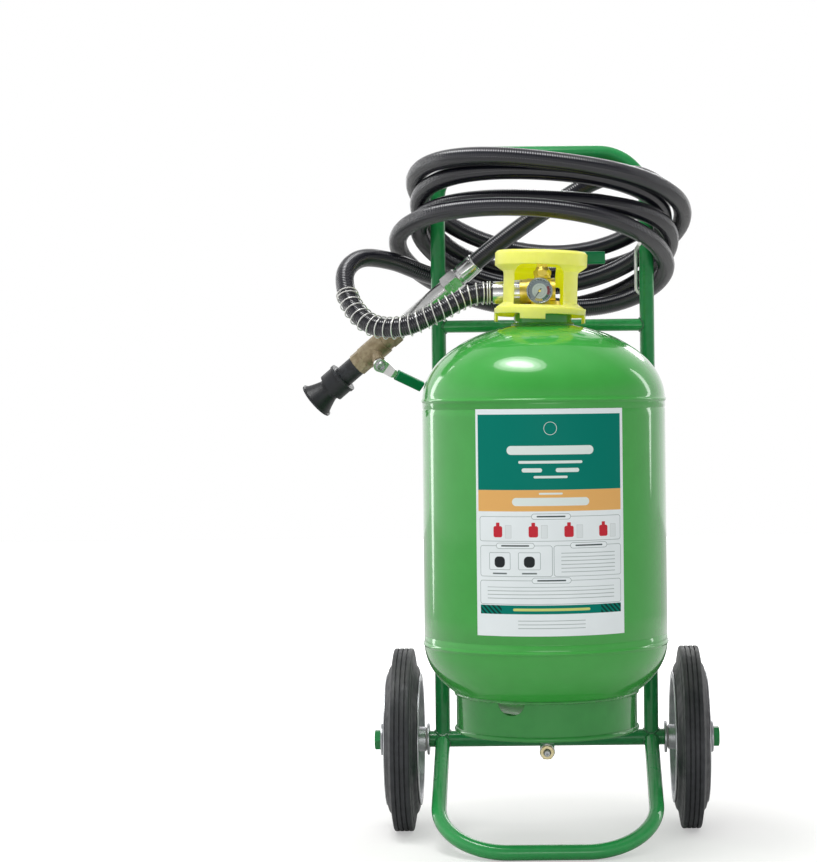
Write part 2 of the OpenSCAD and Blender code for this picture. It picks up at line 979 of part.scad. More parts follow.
// Places a piece that is drawn along the gun, from its hose end
module on_gun(at) {
    by_tank()
        translate(gun_at)
            rotate(gun_turn)
                translate([0, 0, at])
                    children();
}

// Turns a piece that is drawn along +Z so that it lies along the gun's stem
module on_gun_stem() {
    on_gun(gun_ball_at)
        rotate([0, 0, gun_stem_turn])
            rotate([0, 90, 0])
                children();
}

module hose_ferrule() {
    r = 13.4;
    crimps = 8;
    color("silver")
    on_gun(0)
        difference() {
            union() {
                cylinder(r = r, h = 2.5);
                intersection() {
                    cylinder(r = r, h = 24);
                    cylinder(r = (r - 0.6) / cos(180 / crimps), h = 24, $fn = crimps);
                }
                cylinder(r = 12.2, h = gun_nut_at);
            }
            translate([0, 0, -1]) cylinder(r = gun_bore_r, h = gun_nut_at + 2);
        }
}

module gun_nut() {
    color("silver")
    on_gun(gun_nut_at) hex_nut(26, gun_bore_r, lance_at - gun_nut_at);
}

module gun_lance() {
    color("silver")
    on_gun(lance_at)
        pipe(lance_d / 2, gun_bore_r, gun_valve_at - lance_at);
}

module gun_valve_body() {
    length = sleeve_at - gun_valve_at;
    color("peru")
    difference() {
        union() {
            on_gun(gun_valve_at) cylinder(r = 13.6, h = length);
            on_gun(gun_valve_at) cylinder(d = 30, h = 14, $fn = 8);
            on_gun(sleeve_at - 14) cylinder(d = 30, h = 14, $fn = 8);
            on_gun(gun_ball_at - 17) cylinder(r = 15.5, h = 34);
            on_gun_stem() cylinder(r = 8, h = 34);
        }
        on_gun(gun_valve_at - 1) cylinder(r = gun_bore_r, h = length + 2);
        on_gun(gun_ball_at - 13) cylinder(r = 12.5, h = 26);
        on_gun_stem() cylinder(r = 4.05, h = 40);
    }
}

// At rest the ball's port lies across the gun, so it is shut.
module gun_ball() {
    color("silver")
    difference() {
        on_gun(gun_ball_at) sphere(r = ball_r);
        on_gun_stem() rotate([90, 0, 0]) cylinder(r = port_r - 0.5, h = 40, center = true);
        on_gun_stem() translate([-2, -6, ball_r - 3]) cube([4, 12, 5]);
    }
}

module gun_stem() {
    color("silver")
    on_gun_stem()
        union() {
            translate([0, 0, ball_r + 0.2]) cylinder(r = 4, h = gun_lever_h + 3.6 - ball_r);
            translate([-1.8, -3.4, ball_r - 2.6]) cube([3.6, 6.8, 4]);
        }
}

// The lever's own frame: its stem along +Z, its arm along +Y
module on_gun_lever() {
    on_gun_stem()
        translate([0, 0, gun_lever_h])
            rotate([0, 0, 180 + gun_lever_skew])
                children();
}

module gun_lever_outline() {
    union() {
        hull() {
            circle(r = 9.3, $fn = hull_fn);
            translate([0, 17.5]) circle(r = 6.3, $fn = hull_fn);
        }
        hull() {
            translate([0, 17.5]) circle(r = 4, $fn = hull_fn);
            translate([0, gun_lever_len - 5]) circle(r = 4, $fn = hull_fn);
        }
    }
}

// The plate steps away from the valve between its eye and its grip.
module gun_lever_plate() {
    bend_start = 10;
    bend_end = 19;
    intersection() {
        linear_extrude(gun_lever_step + lever_t) gun_lever_outline();
        translate([-20, 0, 0])
            rotate([90, 0, 90])
                linear_extrude(40)
                    polygon([
                        [-20, 0], [bend_start, 0], [bend_end, gun_lever_step],
                        [gun_lever_len, gun_lever_step],
                        [gun_lever_len, gun_lever_step + lever_t],
                        [bend_end - 1, gun_lever_step + lever_t],
                        [bend_start - 1, lever_t], [-20, lever_t]
                    ]);
    }
}

module gun_lever() {
    color("silver")
    on_gun_lever()
        difference() {
            gun_lever_plate();
            translate([0, 0, -1]) cylinder(r = 4.05, h = lever_t + 2);
        }
}

module gun_lever_grip() {
    color("teal")
    on_gun_lever()
        difference() {
            translate([0, gun_grip_at, gun_lever_step + lever_t / 2])
                rotate([-90, 0, 0])
                    linear_extrude(gun_lever_len - gun_grip_at)
                        offset(r = 2.5, $fn = hull_fn) square([8.5, 3], center = true);
            gun_lever_plate();
        }
}

module gun_lever_nut() {
    color("silver")
    on_gun_lever()
        translate([0, 0, lever_t])
            difference() {
                cylinder(r1 = 6.8, r2 = 5.8, h = 4);
                translate([0, 0, -1]) cylinder(r = 4, h = 6);
            }
}

module nozzle_sleeve() {
    color("black")
    on_gun(sleeve_at) pipe(13.6, gun_bore_r, collar_at - sleeve_at);
}

module nozzle_collar() {
    color("black")
    on_gun(collar_at)
        difference() {
            union() {
                cylinder(r = 20.8, h = 4);
                cylinder(r = 19.5, h = horn_at - collar_at);
            }
            translate([0, 0, -1]) cylinder(r = gun_bore_r, h = 40);
        }
}

// The horn's bell opens slowly at first, and its mouth has a raised lip.
module nozzle_horn() {
    length = gun_len - horn_at;
    neck = 5;
    lip_h = 2.4;
    mouth_r = nozzle_d / 2;
    steps = 8;
    bell = [
        for (i = [0:steps])
            let (t = i / steps)
            [15 + (mouth_r - 0.9 - 15) * (0.75 * t + 0.25 * t * t), neck + (length - neck) * t]
    ];
    color("black")
    on_gun(horn_at)
        difference() {
            union() {
                cylinder(r = 15, h = neck);
                rotate_extrude() polygon(concat([[0, neck]], bell, [[0, length]]));
                translate([0, 0, length - lip_h]) cylinder(r = mouth_r, h = lip_h);
            }
            translate([0, 0, -1]) cylinder(r = gun_bore_r, h = 20);
            translate([0, 0, 6])
                cylinder(r1 = gun_bore_r, r2 = mouth_r - 3.4, h = length - 5.9);
        }
}

// ---------------------------------------------------------------- wheels

// Places a wheel piece that is drawn along +Z round the wheel's middle plane
module on_wheel(side) {
    translate([side * wheel_track / 2, axle_y, axle_z])
        rotate([0, side * 90, 0])
            children();
}

// Half of the tyre's section, from its middle plane outwards: [offset, radius]
tyre_half = [
    [tread_w / 2 - 2, wheel_r], [tread_w / 2, wheel_r - 2],
    [tread_w / 2 + 3, wheel_r - 20], [tyre_w / 2 - 2, wheel_r - 25],
    [tyre_w / 2, wheel_r - 31], [tyre_w / 2 - 0.5, rim_seat_r + 3],
    [tyre_w / 2 - 3, rim_seat_r]
];

module tyre(side) {
    groove_w = 1.8;
    groove_deep = 2.5;
    color("dimgray")
    on_wheel(side)
        rotate_extrude()
            difference() {
                polygon(concat(
                    [for (p = tyre_half) [p[1], p[0]]],
                    [for (i = [len(tyre_half) - 1:-1:0]) [tyre_half[i][1], -tyre_half[i][0]]]
                ));
                for (x = [-6, 0, 6])
                    translate([wheel_r - groove_deep, x - groove_w / 2])
                        square([groove_deep + 1, groove_w]);
                for (x = [-1, 1])
                    translate([wheel_r - 10, x * (tread_w / 2 + 1.6) - groove_w / 2])
                        square([3, groove_w]);
            }
}

// The rim: a seat between two flanges, on a dished web
module rim(side) {
    t = 2;
    color("whitesmoke")
    on_wheel(side)
        rotate_extrude()
            union() {
                polygon([
                    [rim_seat_r - t, -rim_half_w], [rim_flange_r, -rim_half_w],
                    [rim_flange_r, t - rim_half_w], [rim_seat_r, t - rim_half_w],
                    [rim_seat_r, rim_half_w - t], [rim_flange_r, rim_half_w - t],
                    [rim_flange_r, rim_half_w], [rim_seat_r - t, rim_half_w]
                ]);
                polygon([
                    [hub_d / 2, 6], [30, 6], [42, -4], [58, -4], [66, 3], [rim_seat_r - t, 3],
                    [rim_seat_r - t, 5.5], [65, 5.5], [57, -1.5], [43, -1.5],
                    [31, 8.5], [hub_d / 2, 8.5]
                ]);
            }
}

module hub(side) {
    color("whitesmoke")
    translate([side > 0 ? hub_in_x : -hub_out_x, axle_y, axle_z])
        along_x() pipe(hub_d / 2, 11, hub_out_x - hub_in_x);
}

// Two flanged bushes, one at each end of the hub
module bushes(side) {
    length = 16;
    color("white")
    for (end = [0, 1])
        translate([side * (end == 0 ? hub_in_x : hub_out_x), axle_y, axle_z])
            rotate([0, side * (end == 0 ? 90 : -90), 0])
                difference() {
                    union() {
                        cylinder(r = 11, h = length);
                        translate([0, 0, -bush_flange_t]) cylinder(r = 14, h = bush_flange_t);
                    }
                    translate([0, 0, -5]) cylinder(r = axle_d / 2 + 0.05, h = length + 10);
                }
}

module left_tyre() { tyre(-1); }

module left_rim() { rim(-1); }

module left_hub() { hub(-1); }

module left_bushes() { bushes(-1); }

module right_tyre() { tyre(1); }

module right_rim() { rim(1); }

module right_hub() { hub(1); }

module right_bushes() { bushes(1); }

// ------------------------------------------------------------ every node

tank_shell();
foot_ring();
neck_boss();
push_frame();
crossbar();
upper_carrier();
lower_carrier();
front_stand();
axle_tube();
axle_rod();
axle_washers();
axle_nuts();
earth_lug();
earth_washer();
earth_nut();
hose_hook();
valve_body();
valve_end_cap();
valve_seats();
neck_seal();
bonnet_plug();
dip_tube();
valve_ball();
valve_stem();
valve_lever();
valve_lever_grip();
valve_lever_nut();
gauge_case();
gauge_dial();
gauge_pointer();
gauge_lens();
valve_guard();
hose_coupling();
hose_lead();
hose_spring();
hose_coil();
hose_tail();
hose_ferrule();
gun_nut();
gun_lance();
gun_valve_body();
gun_ball();
gun_stem();
gun_lever();
gun_lever_grip();
gun_lever_nut();
nozzle_sleeve();
nozzle_collar();
nozzle_horn();
left_tyre();
left_rim();
left_hub();
left_bushes();
right_tyre();
right_rim();
right_hub();
right_bushes();
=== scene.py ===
"""Wheeled fire extinguisher: a green vessel on a two-wheeled tube trolley.

Each sub-assembly is a class that holds its sizes in millimetres, builds its
meshes and dresses them. Meshes are scaled to metres when they are made, and
every piece stands in the same frame as the solids that it replaces.
"""

import logging
import math
from dataclasses import dataclass, field, replace
from enum import Enum
from typing import Callable, Iterable, Sequence

import bpy
from mathutils import Euler, Matrix, Vector


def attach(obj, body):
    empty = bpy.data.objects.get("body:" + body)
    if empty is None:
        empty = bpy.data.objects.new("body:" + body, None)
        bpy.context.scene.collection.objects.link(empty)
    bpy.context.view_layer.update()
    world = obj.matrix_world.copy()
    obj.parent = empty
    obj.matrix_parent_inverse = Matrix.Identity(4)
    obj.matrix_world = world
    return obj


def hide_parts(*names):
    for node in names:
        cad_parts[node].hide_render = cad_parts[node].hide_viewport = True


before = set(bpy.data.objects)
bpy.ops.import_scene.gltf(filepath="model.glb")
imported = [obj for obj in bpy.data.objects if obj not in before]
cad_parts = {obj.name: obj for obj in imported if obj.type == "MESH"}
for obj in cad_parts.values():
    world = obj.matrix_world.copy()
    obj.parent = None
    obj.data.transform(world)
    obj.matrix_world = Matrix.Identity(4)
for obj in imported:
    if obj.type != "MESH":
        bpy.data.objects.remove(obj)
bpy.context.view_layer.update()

LOG = logging.getLogger("extinguisher")
MM = 0.001
# The greatest share of an outline's side that the rounding of its corner takes
EASED_SHARE = 0.45
TROLLEY = "trolley"
VALVE_SET = "valve_lever_set"

Profile = list[tuple[float, float]]
Line = list[Vector]
Spot = tuple[float, float, float]
Area = tuple[float, float, float, float]


# ------------------------------------------------------------ places


def turned(x: float = 0, y: float = 0, z: float = 0) -> Matrix:
    """Turn about X, then Y, then Z, in degrees."""
    return Euler([math.radians(a) for a in (x, y, z)], "XYZ").to_matrix().to_4x4()


def moved(x: float = 0, y: float = 0, z: float = 0) -> Matrix:
    """Move by x, y and z millimetres."""
    return Matrix.Translation((x, y, z))


ALONG_X = turned(y=90)
FACING_FRONT = turned(x=90)
TANK_AXIS = moved(y=-64)
GUN_TURN = turned(y=129.2, z=168.3)
AXLE_Y = 96.0
AXLE_Z = 118.0


# ------------------------------------------------------------ colours


def linear(code: str) -> tuple[float, float, float, float]:
    """Turn a written colour into the shader's linear one.

    Args:
        code: the colour as #RRGGBB.

    Returns:
        Red, green, blue and full alpha, in linear light.
    """
    parts = [int(code[i : i + 2], 16) / 255 for i in (1, 3, 5)]
    return (
        *(p / 12.92 if p <= 0.04045 else ((p + 0.055) / 1.055) ** 2.4 for p in parts),
        1.0,
    )


# ------------------------------------------------------------ shader groups


class Socket(Enum):
    """The kinds of socket that the shared shader groups use."""

    VALUE = "NodeSocketFloat"
    VECTOR = "NodeSocketVector"


class ShaderTree:
    """A short way to add and join shader nodes in one tree."""

    def __init__(self, tree: bpy.types.NodeTree) -> None:
        """Keep the tree that nodes are added to."""
        self.tree = tree

    def node(self, kind: str, **settings: object) -> bpy.types.Node:
        """Add a node.

        Args:
            kind: the node's type name without its ShaderNode prefix.
            **settings: properties of the node.

        Returns:
            The new node.
        """
        made = self.tree.nodes.new("ShaderNode" + kind)
        for key, value in settings.items():
            setattr(made, key, value)
        return made

    def join(self, source: bpy.types.NodeSocket, target: bpy.types.NodeSocket) -> None:
        """Join an output to an input."""
        self.tree.links.new(source, target)

    def feed(self, target: bpy.types.NodeSocket, value: object) -> None:
        """Give an input its value.

        Args:
            target: the input.
            value: an output to join to it, a written colour, a number, or None to leave it.
        """
        if isinstance(value, bpy.types.NodeSocket):
            self.join(value, target)
        elif isinstance(value, str):
            target.default_value = linear(value)
        elif value is not None:
            target.default_value = value

    def fill(self, made: bpy.types.Node, **values: object) -> bpy.types.Node:
        """Feed a node's inputs.

        Args:
            made: the node.
            **values: the inputs by name, with spaces written as underscores.

        Returns:
            The same node.
        """
        for key, value in values.items():
            self.feed(made.inputs[key.replace("_", " ")], value)
        return made

    def parts(self, vector: bpy.types.NodeSocket) -> Sequence[bpy.types.NodeSocket]:
        """Split a vector into its X, Y and Z outputs."""
        made = self.node("SeparateXYZ")
        self.join(vector, made.inputs[0])
        return made.outputs

    def noise(self, scale: object, detail: float) -> bpy.types.NodeSocket:
        """Lay a noise over the object.

        Args:
            scale: how fine it is, as a number or an output.
            detail: how many finer layers it holds.

        Returns:
            The noise's output.
        """
        made = self.node("TexNoise")
        self.fill(made, Vector=object_point(self), Scale=scale, Detail=detail)
        return made.outputs["Fac"]

    def math(self, operation: str, first: object, second: object = None) -> bpy.types.NodeSocket:
        """Work out a value from one or two values.

        Args:
            operation: the Math node's operation.
            first: a number or an output.
            second: a number or an output, where the operation takes two.

        Returns:
            The result's output.
        """
        made = self.node("Math", operation=operation)
        for slot, value in zip(made.inputs, (first, second)):
            self.feed(slot, value)
        return made.outputs[0]

    def mix(self, mask: object, low: object, high: object) -> bpy.types.NodeSocket:
        """Blend two colours by a mask.

        Args:
            mask: a number or an output, from 0 to 1.
            low: the colour where the mask is 0, written or as an output.
            high: the colour where the mask is 1, written or as an output.

        Returns:
            The blended colour's output.
        """
        made = self.node("Mix", data_type="RGBA")
        factor, colour_a, colour_b, result = 0, 6, 7, 2
        for index, value in ((factor, mask), (colour_a, low), (colour_b, high)):
            self.feed(made.inputs[index], value)
        return made.outputs[result]

    def spread(self, source: bpy.types.NodeSocket, low: float, high: float,
               to_low: float = 0.0, to_high: float = 1.0) -> bpy.types.NodeSocket:
        """Map a value from one range to another and clamp it.

        Args:
            source: the value.
            low: the source's value that becomes to_low.
            high: the source's value that becomes to_high.
            to_low: the result at low.
            to_high: the result at high.

        Returns:
            The mapped value's output.
        """
        made = self.node("MapRange")
        for slot, value in zip(made.inputs, (source, low, high, to_low, to_high)):
            self.feed(slot, value)
        return made.outputs[0]


class SharedGroup:
    """A shader group that several finishes use, built the first time it is asked for."""

    made: dict[str, bpy.types.NodeTree] = {}

    @classmethod
    def get(cls, name: str, inputs: Sequence[tuple[str, Socket, float]],
            outputs: Sequence[tuple[str, Socket]],
            fill: Callable[[ShaderTree, bpy.types.Node, bpy.types.Node], None]) -> bpy.types.NodeTree:
        """Give the group of that name.

        Args:
            name: the group's name.
            inputs: name, kind and default of each input.
            outputs: name and kind of each output.
            fill: adds the nodes between the group's input and output nodes.

        Returns:
            The shader group.
        """
        if name not in cls.made:
            tree = bpy.data.node_groups.new(name, "ShaderNodeTree")
            for label, kind, value in inputs:
                made = tree.interface.new_socket(label, in_out="INPUT", socket_type=kind.value)
                if kind is Socket.VALUE:
                    made.default_value = value
            for label, kind in outputs:
                tree.interface.new_socket(label, in_out="OUTPUT", socket_type=kind.value)
            fill(ShaderTree(tree), tree.nodes.new("NodeGroupInput"), tree.nodes.new("NodeGroupOutput"))
            cls.made[name] = tree
        return cls.made[name]


def object_point(shader: ShaderTree) -> bpy.types.NodeSocket:
    """Give the place on the object, which textures are laid by."""
    return shader.node("TexCoord").outputs["Object"]


def grain_group() -> bpy.types.NodeTree:
    """Give the group for an even, fine surface grain.

    Returns:
        A group that takes Size and Contrast and gives Height and Mask.
    """

    def fill(shader: ShaderTree, start: bpy.types.Node, end: bpy.types.Node) -> None:
        """Take the height from a fine noise and the mask from a coarse one."""
        coarseness, least = 0.14, 0.01
        fine = shader.noise(shader.math("DIVIDE", 1.0, start.outputs["Size"]), 3.0)
        coarse = shader.noise(shader.math("DIVIDE", coarseness, start.outputs["Size"]), 2.0)
        shader.join(fine, end.inputs["Height"])
        half = shader.math("MULTIPLY", start.outputs["Contrast"], 0.5)
        centred = shader.math("SUBTRACT", coarse, 0.5)
        scaled = shader.math("DIVIDE", centred, shader.math("MAXIMUM", half, least))
        clamped = shader.node("Clamp")
        shader.join(shader.math("ADD", shader.math("MULTIPLY", scaled, 0.5), 0.5), clamped.inputs[0])
        shader.join(clamped.outputs[0], end.inputs["Mask"])

    return SharedGroup.get(
        "Surface grain",
        [("Size", Socket.VALUE, 0.002), ("Contrast", Socket.VALUE, 0.5)],
        [("Height", Socket.VALUE), ("Mask", Socket.VALUE)],
        fill,
    )


def wear_group() -> bpy.types.NodeTree:
    """Give the group that finds rubbed edges.

    Returns:
        A group that takes Amount and gives Mask, which is 1 on worn edges.
    """

    def fill(shader: ShaderTree, start: bpy.types.Node, end: bpy.types.Node) -> None:
        """Break up the sharp edges' mask with noise."""
        bent, sharp = 0.53, 0.62
        fineness, layers, sparse, dense = 160.0, 4.0, 0.42, 0.62
        edge = shader.spread(shader.node("NewGeometry").outputs["Pointiness"], bent, sharp)
        speck = shader.spread(shader.noise(fineness, layers), sparse, dense)
        both = shader.math("MULTIPLY", edge, speck)
        shader.join(shader.math("MULTIPLY", both, start.outputs["Amount"]), end.inputs["Mask"])

    return SharedGroup.get(
        "Rubbed edges", [("Amount", Socket.VALUE, 0.4)], [("Mask", Socket.VALUE)], fill
    )


def dust_group() -> bpy.types.NodeTree:
    """Give the group that lays a film of dust on faces that look up.

    Returns:
        A group that takes Amount and gives Mask.
    """

    def fill(shader: ShaderTree, start: bpy.types.Node, end: bpy.types.Node) -> None:
        """Multiply the upward faces by a soft noise."""
        steep, level = 0.15, 1.0
        fineness, layers, sparse, dense = 34.0, 5.0, 0.35, 0.7
        upward = shader.spread(shader.parts(shader.node("NewGeometry").outputs["Normal"])[2], steep, level)
        patch = shader.spread(shader.noise(fineness, layers), sparse, dense)
        both = shader.math("MULTIPLY", upward, patch)
        shader.join(shader.math("MULTIPLY", both, start.outputs["Amount"]), end.inputs["Mask"])

    return SharedGroup.get(
        "Settled dust", [("Amount", Socket.VALUE, 0.1)], [("Mask", Socket.VALUE)], fill
    )


def panel_group() -> bpy.types.NodeTree:
    """Give the group that masks a rounded rectangle on a printed sheet.

    Returns:
        A group that takes the sheet's place in millimetres, the rectangle's
        middle and half sizes, its corner radius and the width of its line,
        and gives Mask, which is 1 inside, and Line, which is 1 on its edge.
    """

    def fill(shader: ShaderTree, start: bpy.types.Node, end: bpy.types.Node) -> None:
        """Measure the distance to the rounded rectangle."""
        mask_blur, line_blur = 0.12, 0.1
        place = shader.parts(start.outputs["Place"])
        reach = []
        for axis, centre, half in ((0, "Middle X", "Half width"), (1, "Middle Y", "Half height")):
            off = shader.math("ABSOLUTE", shader.math("SUBTRACT", place[axis], start.outputs[centre]))
            inner = shader.math("SUBTRACT", start.outputs[half], start.outputs["Corner"])
            reach.append(shader.math("MAXIMUM", shader.math("SUBTRACT", off, inner), 0.0))
        square = shader.math("ADD", shader.math("POWER", reach[0], 2.0), shader.math("POWER", reach[1], 2.0))
        gap = shader.math("SUBTRACT", start.outputs["Corner"], shader.math("SQRT", square))
        shader.join(shader.spread(gap, -mask_blur, mask_blur), end.inputs["Mask"])
        half_line = shader.math("MULTIPLY", start.outputs["Line width"], 0.5)
        near = shader.math("SUBTRACT", half_line, shader.math("ABSOLUTE", gap))
        shader.join(shader.spread(near, -line_blur, line_blur), end.inputs["Line"])

    return SharedGroup.get(
        "Printed panel",
        [("Place", Socket.VECTOR, 0.0), ("Middle X", Socket.VALUE, 0.0), ("Middle Y", Socket.VALUE, 0.0),
         ("Half width", Socket.VALUE, 10.0), ("Half height", Socket.VALUE, 10.0),
         ("Corner", Socket.VALUE, 1.0), ("Line width", Socket.VALUE, 0.5)],
        [("Mask", Socket.VALUE), ("Line", Socket.VALUE)],
        fill,
    )


def place_group(shader: ShaderTree, tree: bpy.types.NodeTree, **values: object) -> bpy.types.Node:
    """Place a shared group in a material.

    Args:
        shader: the material's tree.
        tree: the group.
        **values: the group's inputs, with spaces written as underscores.

    Returns:
        The group's node.
    """
    return shader.fill(shader.node("Group", node_tree=tree), **values)


def new_material(name: str) -> tuple[bpy.types.Material, ShaderTree, bpy.types.Node]:
    """Start a material.

    Args:
        name: the material's name.

    Returns:
        The material, its tree and its Principled BSDF.
    """
    made = bpy.data.materials.new(name)
    made.use_nodes = True
    return made, ShaderTree(made.node_tree), made.node_tree.nodes["Principled BSDF"]


# ------------------------------------------------------------ finishes


@dataclass(frozen=True)
class Finish:
    """A surface whose colour and roughness change over it.

    Attributes:
        name: the material's name.
        colour: the main colour.
        shade: the colour that the main one drifts to.
        worn: the colour on rubbed edges.
        roughness: the smoothest and the roughest value.
        metallic: 1 for bare metal.
        coat: weight of a clear coat.
        coat_roughness: how dull that coat is.
        grain: size of the surface grain in metres.
        relief: depth of the grain in metres.
        wear: how much the edges are rubbed.
        dust: how much dust lies on top.
        specular: strength of the plain reflection.
        soften: radius in metres of the rounding on sharp edges.
        glow: how much light passes through a thin wall.
        glow_reach: how far its red, green and blue light passes, in metres.
    """

    name: str
    colour: str
    shade: str
    worn: str = "#9A9A98"
    roughness: tuple[float, float] = (0.3, 0.4)
    metallic: float = 0.0
    coat: float = 0.0
    coat_roughness: float = 0.05
    grain: float = 0.002
    relief: float = 0.00002
    wear: float = 0.2
    dust: float = 0.05
    specular: float = 0.5
    soften: float = 0.0
    glow: float = 0.0
    glow_reach: tuple[float, float, float] = (0.008, 0.008, 0.0008)

    def material(self) -> bpy.types.Material:
        """Give the material, built the first time it is asked for."""
        return bpy.data.materials.get(self.name) or self.build()

    def build(self) -> bpy.types.Material:
        """Build the material."""
        made, shader, surface = new_material(self.name)
        shader.fill(
            surface, Metallic=self.metallic, Coat_Weight=self.coat, Coat_Roughness=self.coat_roughness,
            Specular_IOR_Level=self.specular)
        if self.glow:
            shader.fill(surface, Subsurface_Weight=self.glow, Subsurface_Radius=self.glow_reach,
                        Subsurface_Scale=1.0)
        grain = place_group(shader, grain_group(), Size=self.grain, Contrast=0.5)
        colour = self.base(shader, grain)
        if self.wear:
            rubbed = place_group(shader, wear_group(), Amount=self.wear)
            colour = shader.mix(rubbed.outputs["Mask"], colour, self.worn)
        if self.dust:
            film = place_group(shader, dust_group(), Amount=self.dust)
            colour = shader.mix(film.outputs["Mask"], colour, "#C9C6BC")
        shader.join(colour, surface.inputs["Base Color"])
        low, high = self.roughness
        shader.join(shader.spread(grain.outputs["Mask"], 0.0, 1.0, low, high), surface.inputs["Roughness"])
        self.bump(shader, surface, grain.outputs["Height"])
        return made

    def base(self, shader: ShaderTree, grain: bpy.types.Node) -> bpy.types.NodeSocket:
        """Give the colour before wear and dust."""
        return shader.mix(grain.outputs["Mask"], self.colour, self.shade)

    def bump(self, shader: ShaderTree, surface: bpy.types.Node, height: bpy.types.NodeSocket) -> None:
        """Press the relief into the surface."""
        made = shader.fill(shader.node("Bump"), Strength=1.0, Distance=self.relief, Height=height)
        if self.soften:
            round_edge = shader.node("Bevel", samples=4)
            round_edge.inputs["Radius"].default_value = self.soften
            shader.join(round_edge.outputs[0], made.inputs["Normal"])
        shader.join(made.outputs["Normal"], surface.inputs["Normal"])


@dataclass(frozen=True)
class Enamel(Finish):
    """Glossy stoved enamel, with thin dull spray on what faces the ground."""

    def build(self) -> bpy.types.Material:
        """Build the material, with its coat worn thin underneath."""
        down, level, thin = -0.85, -0.45, 0.05
        made = super().build()
        shader = ShaderTree(made.node_tree)
        up = shader.parts(shader.node("NewGeometry").outputs["Normal"])[2]
        cover = shader.spread(up, down, level, thin, self.coat)
        shader.fill(made.node_tree.nodes["Principled BSDF"], Coat_Weight=cover)
        return made


VESSEL_GREEN = Enamel(
    "Vessel green enamel", "#3AA03F", "#379B3B", worn="#2B7A33", roughness=(0.2, 0.27), coat=1.0,
    coat_roughness=0.06, grain=0.0035, relief=0.00003, wear=0.1, dust=0.02, specular=0.15, soften=0.0008)
# Painted shade: a darker copy of the vessel green, so that the foot ring looks shaded.
FOOT_SHADED_GREEN = replace(VESSEL_GREEN, name="Foot ring green enamel", colour="#308C3C", shade="#2A8237", coat=0.8)
TUBE_GREEN = Finish(
    "Trolley green enamel", "#248A4A", "#1E7F42", worn="#0F4A26", roughness=(0.25, 0.33), coat=0.5,
    coat_roughness=0.06, grain=0.0028, relief=0.000035, wear=0.15, dust=0.03, specular=0.15, soften=0.0006)
# Painted light: a brighter copy of the trolley green for the crossbar and front stand, which stand in more
# light than the uprights.
STAND_LIT_GREEN = replace(
    TUBE_GREEN, name="Stand green enamel", colour="#2A9E50", shade="#249249", coat=1.0, coat_roughness=0.04)
GRIP_GREEN = Finish(
    "Dipped green grip", "#00804C", "#007645", worn="#2F9A66", roughness=(0.3, 0.4),
    grain=0.0016, relief=0.00003, wear=0.1, dust=0.03, specular=0.3, soften=0.0006)
BRIGHT_STEEL = Finish(
    "Bright plated steel", "#E4E4E2", "#D2D3D3", worn="#E8E8E6", roughness=(0.16, 0.3),
    metallic=1.0, grain=0.0012, relief=0.00001, wear=0.3, dust=0.03, soften=0.0004)
SPRING_STEEL = Finish(
    "Spring wire", "#F2F2EE", "#DEDEDA", roughness=(0.34, 0.44), metallic=0.7,
    grain=0.001, relief=0.000008, wear=0.0, dust=0.0)
ZINC = Finish(
    "Dull zinc plate", "#CDCED0", "#B4B6BA", worn="#E2E2E2", roughness=(0.32, 0.46),
    metallic=1.0, grain=0.0018, relief=0.000015, wear=0.25, dust=0.06, soften=0.0004)
YELLOW_ZINC = Finish(
    "Yellow zinc plate", "#E2D6AC", "#D2C18C", worn="#EEE6CC", roughness=(0.26, 0.36),
    metallic=1.0, grain=0.001, relief=0.00001, wear=0.3, dust=0.05, soften=0.0004)
BRASS = Finish(
    "Machined brass", "#DCC764", "#C6AC48", worn="#EEDDA0", roughness=(0.26, 0.4),
    metallic=1.0, grain=0.0015, relief=0.000015, wear=0.4, dust=0.03, soften=0.0005)
CAST_BRASS = Finish(
    "Worn cast brass", "#A3957A", "#857558", worn="#CFC3A2", roughness=(0.4, 0.58),
    metallic=0.6, grain=0.0009, relief=0.00007, wear=0.4, dust=0.12, soften=0.0006)
BLACK_PLASTIC = Finish(
    "Moulded black plastic", "#1B1E23", "#14161A", worn="#3F444B", roughness=(0.38, 0.5),
    grain=0.0008, relief=0.00003, wear=0.35, dust=0.08, soften=0.0006)
TYRE_RUBBER = Finish(
    "Tyre rubber", "#2C2E33", "#232529", worn="#4A4C50", roughness=(0.42, 0.6),
    grain=0.0014, relief=0.00006, wear=0.2, dust=0.1, soften=0.0006)
WHITE_NYLON = Finish(
    "Natural nylon", "#E6E4DC", "#DCD9CF", worn="#F2F0EA", roughness=(0.4, 0.5),
    grain=0.001, relief=0.00002, wear=0.1, dust=0.08)


# ------------------------------------------------------------ meshes


def add_object(name: str, data: bpy.types.ID) -> bpy.types.Object:
    """Add an object to the scene."""
    made = bpy.data.objects.new(name, data)
    bpy.context.scene.collection.objects.link(made)
    return made


def mesh_piece(name: str, points: Iterable[Vector], faces: list[Sequence[int]],
               place: Matrix = Matrix.Identity(4), crease: float = 35.0,
               flat: Sequence[Vector] = ()) -> bpy.types.Object:
    """Make a mesh object from points in millimetres.

    Args:
        name: the piece's name.
        points: its points, before they are placed.
        faces: its faces, as indices of points.
        place: where the piece goes, in millimetres.
        crease: angle in degrees above which an edge stays sharp.
        flat: each point's place on the flat print, in millimetres.

    Returns:
        The new object, in metres.
    """
    mesh = bpy.data.meshes.new(name)
    mesh.from_pydata([(place @ p) * MM for p in points], [], faces)
    if flat:
        sheet = mesh.attributes.new("print", "FLOAT_VECTOR", "POINT")
        sheet.data.foreach_set("vector", [value for spot in flat for value in spot])
    mesh.validate()
    mesh.update()
    mesh.polygons.foreach_set("use_smooth", [True] * len(mesh.polygons))
    mesh.set_sharp_from_angle(angle=math.radians(crease))
    return add_object(name, mesh)


def mark_points(piece: bpy.types.Object, name: str, values: list[float]) -> None:
    """Write a value at each of a piece's points, for its material to read."""
    mark = piece.data.attributes.new(name, "FLOAT", "POINT")
    mark.data.foreach_set("value", values)


